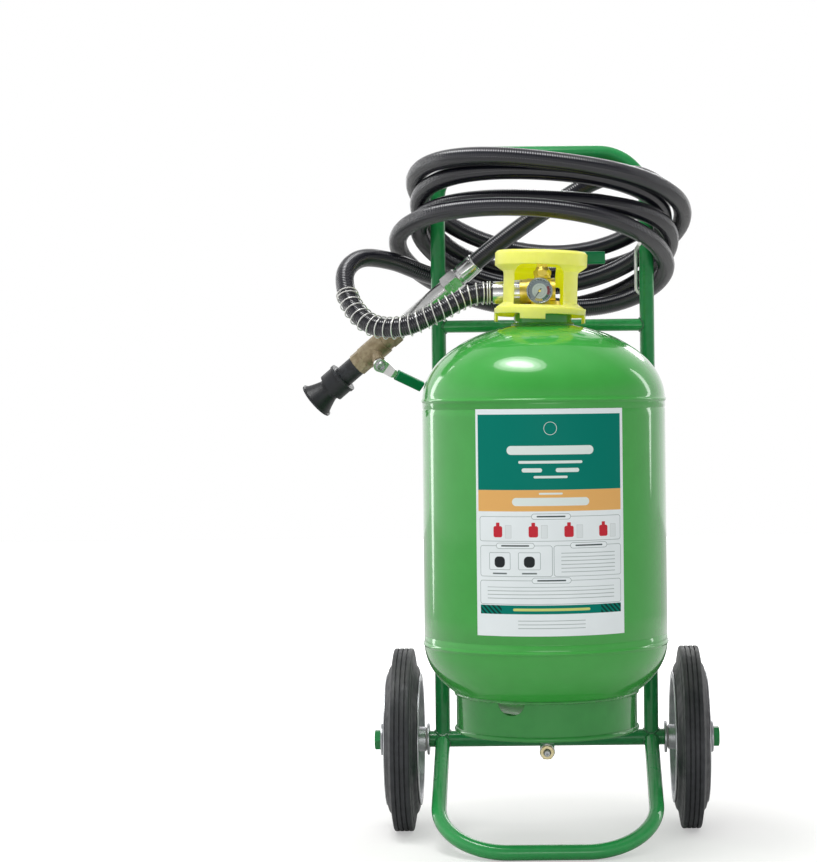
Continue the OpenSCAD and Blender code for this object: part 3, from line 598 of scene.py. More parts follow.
def round_turn(count: int) -> list[float]:
    """Give that many even angles round a turn, in radians."""
    return [2 * math.pi * k / count for k in range(count)]


def skin(rows: int, sides: int, closed: bool = False) -> list[Sequence[int]]:
    """Join closed rows of points into faces.

    Args:
        rows: number of rows, whose points follow each other.
        sides: points in each row.
        closed: whether the last row joins the first. If not, both are capped.

    Returns:
        The faces.
    """
    made: list[Sequence[int]] = []
    for i in range(rows if closed else rows - 1):
        low, high = i * sides, (i + 1) % rows * sides
        for k in range(sides):
            n = (k + 1) % sides
            made.append((low + k, low + n, high + n, high + k))
    if not closed:
        made.append(tuple(range(sides - 1, -1, -1)))
        made.append(tuple(range((rows - 1) * sides, rows * sides)))
    return made


def hoop(middle: Vector, ahead: Vector, across: Vector, radius: float, sides: int) -> tuple[Line, Vector]:
    """Give one section of a tube.

    Args:
        middle: the section's middle.
        ahead: the way that the tube runs there.
        across: the way to the first point of the section before.
        radius: the section's radius.
        sides: points round it.

    Returns:
        The section's points, and the way to the first of them.
    """
    across = (across - ahead * across.dot(ahead)).normalized()
    over = ahead.cross(across)
    return [middle + (across * math.cos(a) + over * math.sin(a)) * radius for a in round_turn(sides)], across


def eased(profile: Profile, radius: float, steps: int = 3) -> Profile:
    """Round the corners of an open outline.

    Args:
        profile: the outline's points.
        radius: how far from a corner its rounding starts.
        steps: points in each rounding, less one.

    Returns:
        The outline with rounded corners.
    """
    made = [profile[0]]
    for before, corner, after in zip(profile, profile[1:], profile[2:]):
        here = Vector(corner)
        back, on = Vector(before) - here, Vector(after) - here
        start = here + back.normalized() * min(radius, back.length * EASED_SHARE)
        end = here + on.normalized() * min(radius, on.length * EASED_SHARE)
        for k in range(steps + 1):
            t = k / steps
            made.append(tuple(start * (1 - t) ** 2 + here * 2 * t * (1 - t) + end * t ** 2))
    return made + [profile[-1]]


def lathe(name: str, profile: Profile, place: Matrix, steps: int = 96,
          loop: bool = False) -> bpy.types.Object:
    """Turn an outline round +Z.

    Args:
        name: the piece's name.
        profile: radius and height of each point of the outline.
        place: where the piece goes.
        steps: points round the axis.
        loop: whether the outline is closed, as a ring's is.

    Returns:
        The new object.
    """
    points: Line = []
    rows: list[list[int]] = []
    for radius, height in profile:
        if radius < 1e-6:
            rows.append([len(points)] * steps)
            points.append(Vector((0, 0, height)))
        else:
            rows.append(list(range(len(points), len(points) + steps)))
            points += circle(radius, steps, height)
    faces = []
    pairs = list(zip(rows, rows[1:])) + ([(rows[-1], rows[0])] if loop else [])
    for low, high in pairs:
        for k in range(steps):
            n = (k + 1) % steps
            corner = dict.fromkeys((low[k], low[n], high[n], high[k]))
            if len(corner) > 2:
                faces.append(tuple(corner))
    return mesh_piece(name, points, faces, place)


def tube(name: str, line: Line, radius: float, place: Matrix = Matrix.Identity(4),
         sides: int = 28, ring: bool = False) -> bpy.types.Object:
    """Sweep a round section along a line.

    Args:
        name: the piece's name.
        line: the points that the middle follows.
        radius: the section's radius.
        place: where the piece goes.
        sides: points round the section.
        ring: whether the line's end joins its start.

    Returns:
        The new object.
    """
    count = len(line)
    across = None
    points: Line = []
    for i, middle in enumerate(line):
        before = line[i - 1] if ring or i else line[0]
        after = line[(i + 1) % count] if ring or i < count - 1 else line[-1]
        ahead = (after - before).normalized()
        if across is None:
            across = ahead.orthogonal().normalized()
        section, across = hoop(middle, ahead, across, radius, sides)
        points += section
    return mesh_piece(name, points, skin(count, sides, closed=ring), place)


def finished_mesh(source: bpy.types.Object) -> bpy.types.Mesh:
    """Take the mesh that an object's settings and modifiers make, and remove the object."""
    made = bpy.data.meshes.new_from_object(source.evaluated_get(bpy.context.evaluated_depsgraph_get()))
    bpy.data.objects.remove(source)
    return made


def plate(name: str, outline: Profile, thick: float, place: Matrix, edge: float = 0.5) -> bpy.types.Object:
    """Cut a flat plate and ease its edges.

    Args:
        name: the piece's name.
        outline: the plate's corners, in order.
        thick: its thickness along +Z.
        place: where the piece goes.
        edge: width of the eased edge.

    Returns:
        The new object.
    """
    curve = bpy.data.curves.new(name + "_outline", "CURVE")
    curve.dimensions = "2D"
    curve.fill_mode = "BOTH"
    spline = curve.splines.new("POLY")
    spline.points.add(len(outline) - 1)
    for point, (x, y) in zip(spline.points, outline):
        point.co = (x, y, 0, 1)
    spline.use_cyclic_u = True
    curve.extrude = thick / 2 - edge
    curve.bevel_depth = edge
    curve.bevel_resolution = 2
    curve.offset = -edge
    cut = finished_mesh(add_object(name + "_source", curve))
    points = [v.co + Vector((0, 0, thick / 2)) for v in cut.vertices]
    faces = [tuple(p.vertices) for p in cut.polygons]
    bpy.data.meshes.remove(cut)
    piece = mesh_piece(name, points, faces, place)
    weld = piece.modifiers.new("Weld", "WELD")
    weld.merge_threshold = 0.01 * MM
    return piece


def moulded(node: str, voxel: float, name: str, keep: float) -> bpy.types.Object:
    """Copy a solid and round all its edges, as a moulding's are.

    Args:
        node: the solid.
        voxel: size of the grid that the copy is rebuilt on, in millimetres.
        name: the new piece's name.
        keep: share of the grid's faces that stays.

    Returns:
        The rounded piece, in metres.
    """
    source = add_object(name + "_source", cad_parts[node].data.copy())
    grid = source.modifiers.new("Grid", "REMESH")
    grid.mode = "VOXEL"
    grid.voxel_size = voxel * MM
    calm = source.modifiers.new("Calm", "SMOOTH")
    calm.factor = 0.5
    calm.iterations = 2
    thin = source.modifiers.new("Thin", "DECIMATE")
    thin.ratio = keep
    mesh = finished_mesh(source)
    mesh.name = name
    mesh.polygons.foreach_set("use_smooth", [True] * len(mesh.polygons))
    return add_object(name, mesh)


def looped(corners: Profile, radius: float, steps: int = 2) -> Profile:
    """Round every corner of a closed outline."""
    wrapped = [corners[-1], *corners, corners[0]]
    return eased(wrapped, radius, steps)[1:-1]


def ring(name: str, inner: float, outer: float, length: float, place: Matrix, edge: float = 0.4,
         steps: int = 64) -> bpy.types.Object:
    """Turn a plain ring or washer with eased edges."""
    section = [(inner, 0.0), (outer, 0.0), (outer, length), (inner, length)]
    return lathe(name, looped(section, edge), place, steps, loop=True)


def nut(name: str, flats: float, bore: float, length: float, place: Matrix) -> bpy.types.Object:
    """Make a hexagon nut whose corners are turned down at both ends.

    Args:
        name: the piece's name.
        flats: width across the flats.
        bore: radius of the hole.
        length: the nut's length.
        place: where the piece goes.

    Returns:
        The new object.
    """
    steps, face_share, bore_edge = 96, 0.985, 0.5
    flat = flats / 2
    corner = flat / math.cos(math.pi / 6)
    drop = (corner - flat) * 0.7
    turns = round_turn(steps)
    reaches = [flat / math.cos((a + math.pi / 6) % (math.pi / 3) - math.pi / 6) for a in turns]
    rim = [(reach, drop * (reach - flat) / (corner - flat)) for reach in reaches]
    rows = [[(flat * face_share, 0.0)] * steps, rim, [(reach, length - low) for reach, low in rim],
            [(flat * face_share, length)] * steps]
    for spot in ((bore + bore_edge, length), (bore, length - bore_edge), (bore, bore_edge),
                 (bore + bore_edge, 0.0)):
        rows.append([spot] * steps)
    points = [
        Vector((reach * math.cos(a), reach * math.sin(a), height))
        for row in rows for a, (reach, height) in zip(turns, row)
    ]
    return mesh_piece(name, points, skin(len(rows), steps, closed=True), place, crease=24.0)


def rounded_bar(name: str, wide: float, thick: float, length: float, place: Matrix, corner: float,
                end: float) -> bpy.types.Object:
    """Make a bar of rounded rectangular section with soft ends along +Z.

    Args:
        name: the piece's name.
        wide: the section's width along X.
        thick: the section's thickness along Y.
        length: the bar's length.
        place: where the piece goes.
        corner: radius of the section's corners.
        end: how far from each end the bar rounds off.

    Returns:
        The new object.
    """
    round_steps, end_steps, least_bend = 6, 5, 0.3
    rows: Profile = []
    for k in range(end_steps + 1):
        a = math.pi / 2 * k / end_steps
        rows.append((end * (1 - math.sin(a)), end * (1 - math.cos(a))))
    rows += [(inset, length - z) for inset, z in rows[::-1]]
    points: Line = []
    for inset, z in rows:
        half_x, half_y = wide / 2 - inset, thick / 2 - inset
        bend = max(least_bend, corner - inset)
        for quarter in range(4):
            cx = (half_x - bend) * (1, -1, -1, 1)[quarter]
            cy = (half_y - bend) * (1, 1, -1, -1)[quarter]
            for k in range(round_steps + 1):
                a = math.pi / 2 * (quarter + k / round_steps)
                points.append(Vector((cx + bend * math.cos(a), cy + bend * math.sin(a), z)))
    return mesh_piece(name, points, skin(len(rows), 4 * (round_steps + 1)), place)


def circle(radius: float, steps: int, z: float = 0.0) -> Line:
    """Give points round a circle."""
    return [Vector((radius * math.cos(a), radius * math.sin(a), z)) for a in round_turn(steps)]


def place_piece(piece: bpy.types.Object, finish: "Finish | LensGlass", body: str,
                stands_for: Sequence[str] = ()) -> bpy.types.Object:
    """Dress a piece and set it on its body.

    Args:
        piece: the new object.
        finish: what gives its material.
        body: the body that it rides on.
        stands_for: the solids that it replaces.

    Returns:
        The same object.
    """
    piece.data.materials.clear()
    piece.data.materials.append(finish.material())
    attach(piece, body)
    if stands_for:
        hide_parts(*stands_for)
    LOG.info("%s rides on %s", piece.name, body)
    return piece


def dress_solids(finish: Finish, *nodes: str) -> None:
    """Give solids that stay in view their finish."""
    for node in nodes:
        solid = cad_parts[node]
        solid.data.materials.clear()
        solid.data.materials.append(finish.material())
        LOG.info("%s keeps its solid", node)


# ------------------------------------------------------------ studio


@dataclass(frozen=True)
class SoftBox:
    """An oval lamp.

    Attributes:
        name: the lamp's name.
        spot: where it hangs, in metres.
        aim: height in metres of the point over the origin that it faces.
        size: its width and height, in metres.
        power: its power in watts.
    """

    name: str
    spot: Spot
    aim: float
    size: tuple[float, float]
    power: float

    def hang(self) -> None:
        """Hang the lamp."""
        data = bpy.data.lights.new(self.name, "AREA")
        data.shape = "ELLIPSE"
        data.size, data.size_y = self.size
        data.energy = self.power
        made = add_object(self.name, data)
        made.location = self.spot
        way = Vector((0, 0, self.aim)) - Vector(self.spot)
        made.rotation_euler = way.to_track_quat("-Z", "Y").to_euler()


@dataclass
class Studio:
    """The camera, the floor and the soft lights.

    Attributes:
        distance: how far the camera stands in front of the vessel's axis.
        height: the camera's height.
        focal: the lens's focal length in pixels of the picture.
        centre: the picture's point that the lens looks at.
        picture: the picture's width and height.
        roll: how far the camera leans, in degrees.
        floor_half: half the floor's width, in metres.
        fill: strength of the soft light from all round.
        rise: how much stronger that light is from above than from the side.
        lean: how much stronger it is from the left.
        front_gloss: how bright the front of the studio looks in gloss.
        dark_gloss: how bright it looks between there and the lamps.
        floor_gloss: how bright the floor looks in gloss.
        lamps: three boxes over the front that brighten to their middle, one
            low in front, and one behind each side and the back.
    """

    distance: float = 2843.0
    height: float = 572.0
    focal: float = 2300.0
    centre: tuple[float, float] = (543.5, 390.0)
    picture: tuple[float, float] = (817.0, 862.0)
    roll: float = -0.6
    floor_half: float = 6.0
    fill: float = 0.72
    rise: float = 0.2
    lean: float = 0.14
    front_gloss: float = 0.62
    dark_gloss: float = 0.22
    floor_gloss: float = 0.12
    lamps: tuple[SoftBox, ...] = (
        SoftBox("Overhead", (-0.42, -0.45, 2.1), 0.5, (1.15, 0.78), 9.5),
        SoftBox("Overhead middle", (-0.42, -0.45, 2.09), 0.5, (0.9, 0.52), 4),
        SoftBox("Overhead core", (-0.42, -0.45, 2.08), 0.5, (0.62, 0.32), 3.8),
        SoftBox("Low front", (0.1, -2.5, 0.3), 0.25, (1.8, 0.4), 4),
        SoftBox("Rear window", (0.5, 2.0, 1.45), 0.6, (1.1, 0.5), 5),
        SoftBox("Left rear strip", (-1.7, 1.3, 1.0), 0.5, (0.3, 1.9), 5),
        SoftBox("Right rear strip", (1.95, 0.9, 1.15), 0.5, (0.22, 1.7), 4))

    def camera(self) -> None:
        """Make the camera and look through it."""
        data = bpy.data.cameras.new("View")
        data.sensor_width = 36.0
        wide, high = self.picture
        long_side = max(wide, high)
        data.lens = self.focal / long_side * data.sensor_width
        data.shift_x = (wide / 2 - self.centre[0]) / long_side
        data.shift_y = (self.centre[1] - high / 2) / long_side
        data.clip_start, data.clip_end = 0.05, 50.0
        made = add_object("View", data)
        spot = TANK_AXIS.translation + Vector((0, -self.distance, self.height))
        made.matrix_world = Matrix.Translation(spot * MM) @ turned(x=90) @ turned(z=self.roll)
        bpy.context.scene.camera = made

    def floor(self) -> None:
        """Lay a pale floor that keeps the shadow and looks plain to the camera."""
        near, far, near_light, far_light = 0.3, 1.25, 0.4, 1.0
        half = self.floor_half
        data = bpy.data.meshes.new("Floor")
        data.from_pydata([(-half, -half, 0), (half, -half, 0), (half, half, 0), (-half, half, 0)], [],
                         [(0, 1, 2, 3)])
        paint, shader, surface = new_material("Floor paint")
        reach = shader.node("VectorMath", operation="LENGTH")
        shader.join(object_point(shader), reach.inputs[0])
        fade = shader.spread(reach.outputs["Value"], near, far, near_light, far_light)
        clear, gloss = self.rays(shader)
        seen = shader.math("MAXIMUM", clear, shader.math("MULTIPLY", gloss, self.floor_gloss))
        shader.fill(
            surface, Base_Color="#C8C8C6", Roughness=0.8, Specular_IOR_Level=0.1, Emission_Color="#FFFFFF",
            Emission_Strength=shader.math("MULTIPLY", fade, seen))
        data.materials.append(paint)
        add_object("Floor", data)

    def rays(self, shader: ShaderTree) -> tuple[bpy.types.NodeSocket, bpy.types.NodeSocket]:
        """Tell the rays of the eye and of glass, and those of gloss, from the rest."""
        path = shader.node("LightPath")
        clear = shader.math("MAXIMUM", path.outputs["Is Camera Ray"], path.outputs["Is Transmission Ray"])
        return clear, path.outputs["Is Glossy Ray"]

    def world(self) -> None:
        """Make a white surround that is dim in front, as a studio's is."""
        sky = bpy.data.worlds.new("Surround")
        bpy.context.scene.world = sky
        sky.use_nodes = True
        shader = ShaderTree(sky.node_tree)
        way = shader.parts(shader.node("TexCoord").outputs["Generated"])
        height = shader.math("ABSOLUTE", way[2])
        mirrored = shader.spread(height, 0.18, 0.5, self.front_gloss, self.dark_gloss)
        above = shader.spread(height, 0.75, 0.97, 0.0, 0.4)
        left = shader.spread(way[0], -0.35, -0.9, 0.0, 0.45)
        behind = shader.spread(way[1], 0.0, 0.8)
        front = shader.math("ADD", mirrored, shader.math("ADD", above, left))
        mirrored = shader.math("MINIMUM", shader.math("MAXIMUM", front, behind), 1.0)
        soft = shader.spread(way[2], -1.0, 1.0, self.fill - self.rise, self.fill + self.rise)
        soft = shader.math("SUBTRACT", soft, shader.math("MULTIPLY", way[0], self.lean))
        clear, gloss = self.rays(shader)
        light = shader.node("Mix", data_type="FLOAT")
        for slot, value in zip(light.inputs, (gloss, None, soft, mirrored)):
            shader.feed(slot, value)
        shader.fill(
            sky.node_tree.nodes["Background"], Color="#FFFFFF",
            Strength=shader.math("MAXIMUM", clear, light.outputs[0]))

    def build(self) -> None:
        """Set up the floor and the light."""
        bpy.context.scene.view_settings.view_transform = "Standard"
        self.floor()
        self.world()
        for lamp in self.lamps:
            lamp.hang()


# ------------------------------------------------------------ hose


def cubic(start: Vector, slope: Vector, end: Vector, end_slope: Vector, t: float) -> Vector:
    """Give a point on the cubic between two points with given slopes."""
    return (
        start * (2 * t ** 3 - 3 * t ** 2 + 1) + slope * (t ** 3 - 2 * t ** 2 + t)
        + end * (3 * t ** 2 - 2 * t ** 3) + end_slope * (t ** 3 - t ** 2)
    )


def smooth_line(points: Line, first: Vector, last: Vector, pull: float, steps: int) -> Line:
    """Draw a smooth line through points.

    Args:
        points: the points that it passes.
        first: its slope at the first point.
        last: its slope at the last point.
        pull: share of the chord across a point that is its slope there.
        steps: points in each span.

    Returns:
        The line's points.
    """
    slopes = [first]
    slopes += [(after - before) * pull for before, after in zip(points, points[2:])]
    slopes.append(last)
    made = [
        cubic(points[i], slopes[i], points[i + 1], slopes[i + 1], k / steps)
        for i in range(len(points) - 1)
        for k in range(steps)
    ]
    return made + [points[-1]]


class Run:
    """A line that is read by the length along it."""

    def __init__(self, line: Line) -> None:
        """Measure the line."""
        self.line = line
        self.lengths = [0.0]
        for before, after in zip(line, line[1:]):
            self.lengths.append(self.lengths[-1] + (after - before).length)
        self.total = self.lengths[-1]

    def at(self, length: float) -> Vector:
        """Give the point that lies that far along the line."""
        length = min(max(length, 0.0), self.total)
        low, high = 0, len(self.lengths) - 1
        while high - low > 1:
            middle = (low + high) // 2
            if self.lengths[middle] <= length:
                low = middle
            else:
                high = middle
        span = self.lengths[high] - self.lengths[low]
        t = (length - self.lengths[low]) / span if span else 0.0
        return self.line[low].lerp(self.line[high], t)

    def even(self, gap: float) -> Line:
        """Give points that lie a steady distance apart."""
        count = max(1, round(self.total / gap))
        return [self.at(self.total * i / count) for i in range(count + 1)]


@dataclass(frozen=True)
class HoseRubber(Finish):
    """Black rubber with fine ribs across its length, a shiny skin and painted shade in the valleys between
    the ribs.
    """

    # Painted shade: the colour in the valleys between the ribs.
    painted_valley_shade: str = "#050507"

    def base(self, shader: ShaderTree, grain: bpy.types.Node) -> bpy.types.NodeSocket:
        """Give the colour, with painted shade in the valleys between the ribs."""
        crest = shader.node("Attribute", attribute_name="crest")
        return shader.mix(crest.outputs["Fac"], self.painted_valley_shade, super().base(shader, grain))


HOSE_BLACK = HoseRubber(
    "Ribbed hose rubber", "#11121F", "#0C0D19", roughness=(0.12, 0.18), coat=0.8, coat_roughness=0.09,
    specular=0.4, grain=0.004, relief=0.00003, wear=0.0, dust=0.02)


@dataclass
class Hose:
    """The one hose: its lead, its four turns round the frame and its tail.

    Attributes:
        diameter: outer diameter.
        rib_pitch: distance between the fine ribs.
        rib_depth: how deep the valleys between them are.
        rib_shape: where along a rib its points lie, and their share of that depth.
        sides: points round the hose.
        lead: points from the coupling to the middle of the back.
        tail: points from the coil to the gun's ferrule.
        right_side: points of the turns on the right.
        front_side: points of the turns in front.
        left_side: points of the turns on the left.
        back_side: points of the turns behind.
        outlet: the way in which the lead leaves the coupling.
        lead_out: the way in which the lead runs into the coil.
        tail_in: the way in which the coil runs into the tail.
        gun_way: the way in which the gun points.
        lead_slopes: how straight the lead's line starts and ends.
        coil_slopes: the same for the coil's line.
        tail_slopes: the same for the tail's line.
        pull: share of the chord across a point of the lead or tail that is its slope.
        coil_pull: the same share in the coil.
        steps: points in each span of the lead and the tail.
        coil_steps: points in each span of the coil.
        spring_wire: radius of the bend spring's wire.
        spring_reach: radius of its turns, to the middle of the wire.
        spring_starts: how far along the lead some of its turns start.
        path: points along the hose, in metres, known once it is built.
        length: its length in metres, known once it is built.
    """

    diameter: float = 23.5
    rib_pitch: float = 2.95
    rib_depth: float = 0.5
    rib_shape: Profile = field(default_factory=lambda: [(0.0, 1.0), (0.26, 0.0), (0.74, 0.0)])
    sides: int = 18
    lead: tuple[Spot, ...] = (
        (-61, 0, 693), (-93, -3, 688), (-130, -9, 669), (-171, -4, 652), (-212, 16, 655),
        (-241, 48, 683), (-251, 86, 722), (-233, 125, 744), (-196, 160, 742), (-153, 183, 726),
        (-110, 205, 713), (-66, 231, 701), (-22, 251, 691), (2, 257, 687))
    tail: tuple[Spot, ...] = (
        (158.5, 161, 822), (154, 136, 831), (141, 114, 840.5), (119, 99, 846), (92, 93, 845),
        (65, 93, 836.5), (36, 97, 820.5), (-2, 104, 798), (-42, 114, 771), (-86, 127, 737.5))
    right_side: tuple[Spot, ...] = (
        (161, 160, 737), (167, 160, 767), (158.5, 160, 793), (184, 160, 799), (158.5, 185, 816))
    front_side: tuple[Spot, ...] = (
        (-10, 0, 798), (-10, 31, 811), (-10, 26, 846), (-10, 0, 858))
    left_side: tuple[Spot, ...] = (
        (-189, 180, 763), (-161, 170, 782), (-160, 165, 810), (-165, 165, 839))
    back_side: tuple[Spot, ...] = (
        (0, 308, 684), (0, 280, 712), (0, 308, 729), (0, 278, 758))
    outlet: Vector = field(default_factory=lambda: Vector((-1, 0, 0)))
    lead_out: Vector = field(default_factory=lambda: Vector((0.98, 0.14, -0.14)).normalized())
    tail_in: Vector = field(default_factory=lambda: Vector((0, -24, 6)).normalized())
    gun_way: Vector = field(default_factory=lambda: GUN_TURN.to_3x3() @ Vector((0, 0, 1)))
    lead_slopes: tuple[float, float] = (33, 24)
    coil_slopes: tuple[float, float] = (195, 245)
    tail_slopes: tuple[float, float] = (24, 50)
    pull: float = 0.5
    coil_pull: float = 0.83
    steps: int = 16
    coil_steps: int = 40
    spring_wire: float = 0.8
    spring_reach: float = 13.6
    spring_starts: tuple[tuple[float, float], ...] = (
        (0, 3.0), (1, 5.2), (2.5, 12.0), (8.5, 68.5), (17.5, 163.0), (22.5, 231.0), (24, 237.5))
    path: list[tuple[float, ...]] = field(default_factory=list, init=False)
    length: float = field(default=0.0, init=False)

    def lead_line(self) -> Line:
        """Give the lead's line."""
        first, last = self.lead_slopes
        points = [Vector(p) for p in self.lead]
        return smooth_line(points, self.outlet * first, self.lead_out * last, self.pull, self.steps)

    def whole_line(self) -> Line:
        """Give the hose's line from the coupling to the ferrule."""
        lead = self.lead_line()
        stations = [lead[-1] + self.lead_out * self.diameter]
        for turn in zip(self.right_side, self.front_side, self.left_side, self.back_side):
            stations += [Vector(p) for p in turn]
        stations.append(Vector(self.right_side[-1]))
        first, last = self.coil_slopes
        coil = smooth_line(
            stations, self.lead_out * first, self.tail_in * last, self.coil_pull, self.coil_steps)
        first, last = self.tail_slopes
        points = [Vector(p) for p in self.tail]
        tail = smooth_line(points, self.tail_in * first, self.gun_way * last, self.pull, self.steps)
        return lead + coil + tail

    def body(self) -> bpy.types.Object:
        """Build the ribbed tube in one length."""
        look, path_gap = 1.5, 12.0
        run = Run(self.whole_line())
        ribs = round(run.total / self.rib_pitch)
        stations = [
            ((rib + part) / ribs * run.total, low) for rib in range(ribs) for part, low in self.rib_shape]
        stations.append((run.total, 1.0))
        points: Line = []
        crest: list[float] = []
        across = Vector((0, 0, 1))
        for s, low in stations:
            ahead = (run.at(s + look) - run.at(s - look)).normalized()
            reach = self.diameter / 2 - low * self.rib_depth
            section, across = hoop(run.at(s), ahead, across, reach, self.sides)
            points += section
            crest += [1.0 - low] * self.sides
        piece = mesh_piece("hose", points, skin(len(stations), self.sides), TANK_AXIS, crease=45.0)
        mark_points(piece, "crest", crest)
        self.path = [tuple((TANK_AXIS @ p) * MM) for p in run.even(path_gap)]
        self.length = run.total * MM
        return place_piece(piece, HOSE_BLACK, TROLLEY, ["hose_lead", "hose_coil", "hose_tail"])

    def spring(self) -> bpy.types.Object:
        """Build the bend spring round the start of the lead."""
        rings = 28
        run = Run(self.lead_line())
        line: Line = []
        for i in range(self.spring_starts[-1][0] * rings + 1):
            turns = i / rings
            spans = zip(self.spring_starts, self.spring_starts[1:])
            low, high = next(pair for pair in spans if turns <= pair[1][0])
            s = low[1] + (high[1] - low[1]) * (turns - low[0]) / (high[0] - low[0])
            ahead = (run.at(s + 1) - run.at(max(0.0, s - 1))).normalized()
            across = ahead.cross(Vector((0, 0, 1))).normalized()
            over = across.cross(ahead)
            turn = 2 * math.pi * turns
            line.append(run.at(s) + (across * math.cos(turn) + over * math.sin(turn)) * self.spring_reach)
        piece = tube("hose_spring_wire", line, self.spring_wire, TANK_AXIS, sides=8)
        return place_piece(piece, SPRING_STEEL, TROLLEY, ["hose_spring"])

    def build(self, on_it: Sequence[str]) -> None:
        """Args:
            on_it: names of the pieces on the hose's end; not used.
        """
        hose = self.body()
        spring = self.spring()
        LOG.info("the hose is %.2f m long", self.length)


# ------------------------------------------------------------ vessel


@dataclass(frozen=True)
class LabelPrint(Finish):
    """A plain printed sheet: a dark block, a warm band and empty ruled boxes.

    An area of the print is written as the place of its middle and its half
    sizes, in millimetres across from the sheet's middle line and up from the
    ground.

    Attributes:
        block: colour of the block at the top.
        band: colour of the band under it.
        rule: colour of the boxes' lines.
        grey: colour of the thin lines that stand for print.
        block_area: the block's area.
        band_area: the band's area.
        roundel: the area of the ring on the block.
        strip_area: the area of the striped strip at the bottom.
        strip_bar: the area of the bar on it.
        bars: the pale bars on the block and the band.
        boxes: the ruled boxes, each with the place of its tab.
        tab: half sizes of a tab.
        tab_bar: half sizes of the bar on it.
        texts: the areas that hold rows of thin lines.
        flasks: where the small red flasks stand.
        flask_up: height of their middles.
        cards: where the small framed cards stand.
        card_up: height of their middles.
    """

    block: str = "#007768"
    band: str = "#E2AE68"
    rule: str = "#8A9696"
    grey: str = "#8F9A9A"
    block_area: Area = (-0.4, 499.3, 89.1, 44.4)
    band_area: Area = (-0.4, 442.4, 89.1, 12.5)
    roundel: Area = (0, 527, 7.5, 7.5)
    strip_area: Area = (0, 314.5, 87.5, 5.2)
    strip_bar: Area = (0, 314.5, 46, 1.5)
    bars: tuple[Area, ...] = (
        (0, 501.5, 52, 5.2), (0, 487.5, 38, 1.6), (0, 470, 20, 1.4), (-22, 478, 12, 2.4),
        (20, 478, 14, 2.4), (0, 441, 46, 4.8), (0, 450.5, 14, 1.1))
    boxes: tuple[tuple[float, float, float, float, float], ...] = (
        (0, 409.3, 87.5, 14.4, 0), (-43, 371.5, 44, 18, -43), (45.5, 371.5, 42.5, 18, 45.5),
        (0, 334.8, 87.5, 13.8, 0))
    tab: tuple[float, float] = (23, 3.2)
    tab_bar: tuple[float, float] = (17, 0.9)
    texts: tuple[Area, ...] = (
        (45.5, 369.5, 34, 12), (0, 333.2, 78, 8), (0, 296, 40, 7))
    flasks: tuple[float, ...] = (-64, -21, 21, 64)
    flask_up: float = 406.0
    cards: tuple[float, ...] = (-62, -26)
    card_up: float = 371.5

    def base(self, shader: ShaderTree, grain: bpy.types.Node) -> bpy.types.NodeSocket:
        """Lay the print's areas over each other."""
        spot = shader.node("Attribute", attribute_name="print").outputs["Vector"]
        across, up = shader.parts(spot)[:2]
        line_width, line_gap = 0.55, 4.4

        def area(x: float, y: float, half_x: float, half_y: float, corner: float = 0.3) -> bpy.types.Node:
            """Mask one rectangle of the print."""
            return place_group(
                shader, panel_group(), Place=spot, Middle_X=x, Middle_Y=y,
                Half_width=half_x, Half_height=half_y, Corner=corner, Line_width=line_width)

        def fill(colour: bpy.types.NodeSocket, made: bpy.types.Node, paint: str) -> bpy.types.NodeSocket:
            """Paint the inside of an area."""
            return shader.mix(made.outputs["Mask"], colour, paint)

        def draw(colour: bpy.types.NodeSocket, made: bpy.types.Node, paint: str) -> bpy.types.NodeSocket:
            """Paint the edge of an area."""
            return shader.mix(made.outputs["Line"], colour, paint)

        colour = super().base(shader, grain)
        colour = fill(colour, area(*self.block_area), self.block)
        colour = fill(colour, area(*self.band_area), self.band)
        pale = area(*self.roundel, self.roundel[-1]).outputs["Line"]
        for x, y, half_x, half_y in self.bars:
            pale = shader.math("MAXIMUM", pale, area(x, y, half_x, half_y, half_y).outputs["Mask"])
        colour = shader.mix(pale, colour, "#DCE6E2")
        for x, y, half_x, half_y, tab_x in self.boxes:
            colour = draw(colour, area(x, y, half_x, half_y, 3), self.rule)
            tab = area(tab_x, y + half_y, *self.tab, self.tab[-1])
            colour = draw(fill(colour, tab, self.colour), tab, self.rule)
            colour = fill(colour, area(tab_x, y + half_y, *self.tab_bar, self.tab_bar[-1]), "#4C5656")
        for x, y, half_x, half_y in self.texts:
            part = shader.math("FRACT", shader.math("DIVIDE", up, line_gap))
            near = shader.math("ABSOLUTE", shader.math("SUBTRACT", part, 0.5))
            line = shader.spread(near, 0.5 / line_gap, 0.2 / line_gap)
            inside = shader.math("MULTIPLY", line, area(x, y, half_x, half_y).outputs["Mask"])
            colour = shader.mix(inside, colour, self.grey)
        for x in self.flasks:
            flask = area(x, self.flask_up, 5.6, 6.6, 2.4)
            neck = area(x, self.flask_up + 8.3, 2.2, 2.4, 0.6)
            both = shader.math("MAXIMUM", flask.outputs["Mask"], neck.outputs["Mask"])
            colour = shader.mix(both, colour, "#C2303C")
            colour = draw(colour, area(x + 13, self.flask_up, 3.6, 7.5), "#C9D0D0")
        for x in self.cards:
            colour = draw(colour, area(x, self.card_up, 13, 10, 1.5), self.rule)
            colour = fill(colour, area(x, self.card_up - 1, 6.5, 6.5, 5), "#2A2E30")
            colour = fill(colour, area(x, self.card_up - 14.5, 9, 0.9, 0.9), "#6A7474")
        strip = area(*self.strip_area)
        colour = fill(colour, strip, self.block)
        colour = fill(colour, area(*self.strip_bar, self.strip_bar[-1]), "#C9D27A")
        slant = shader.math("FRACT", shader.math("DIVIDE", shader.math("ADD", across, up), 6.2))
        stripe = shader.spread(shader.math("ABSOLUTE", shader.math("SUBTRACT", slant, 0.5)), 0.22, 0.26)
        ends = shader.math("GREATER_THAN", shader.math("ABSOLUTE", across), 60.0)
        hatch = shader.math("MULTIPLY", shader.math("MULTIPLY", stripe, ends), strip.outputs["Mask"])
        return shader.mix(hatch, colour, "#0B3B34")


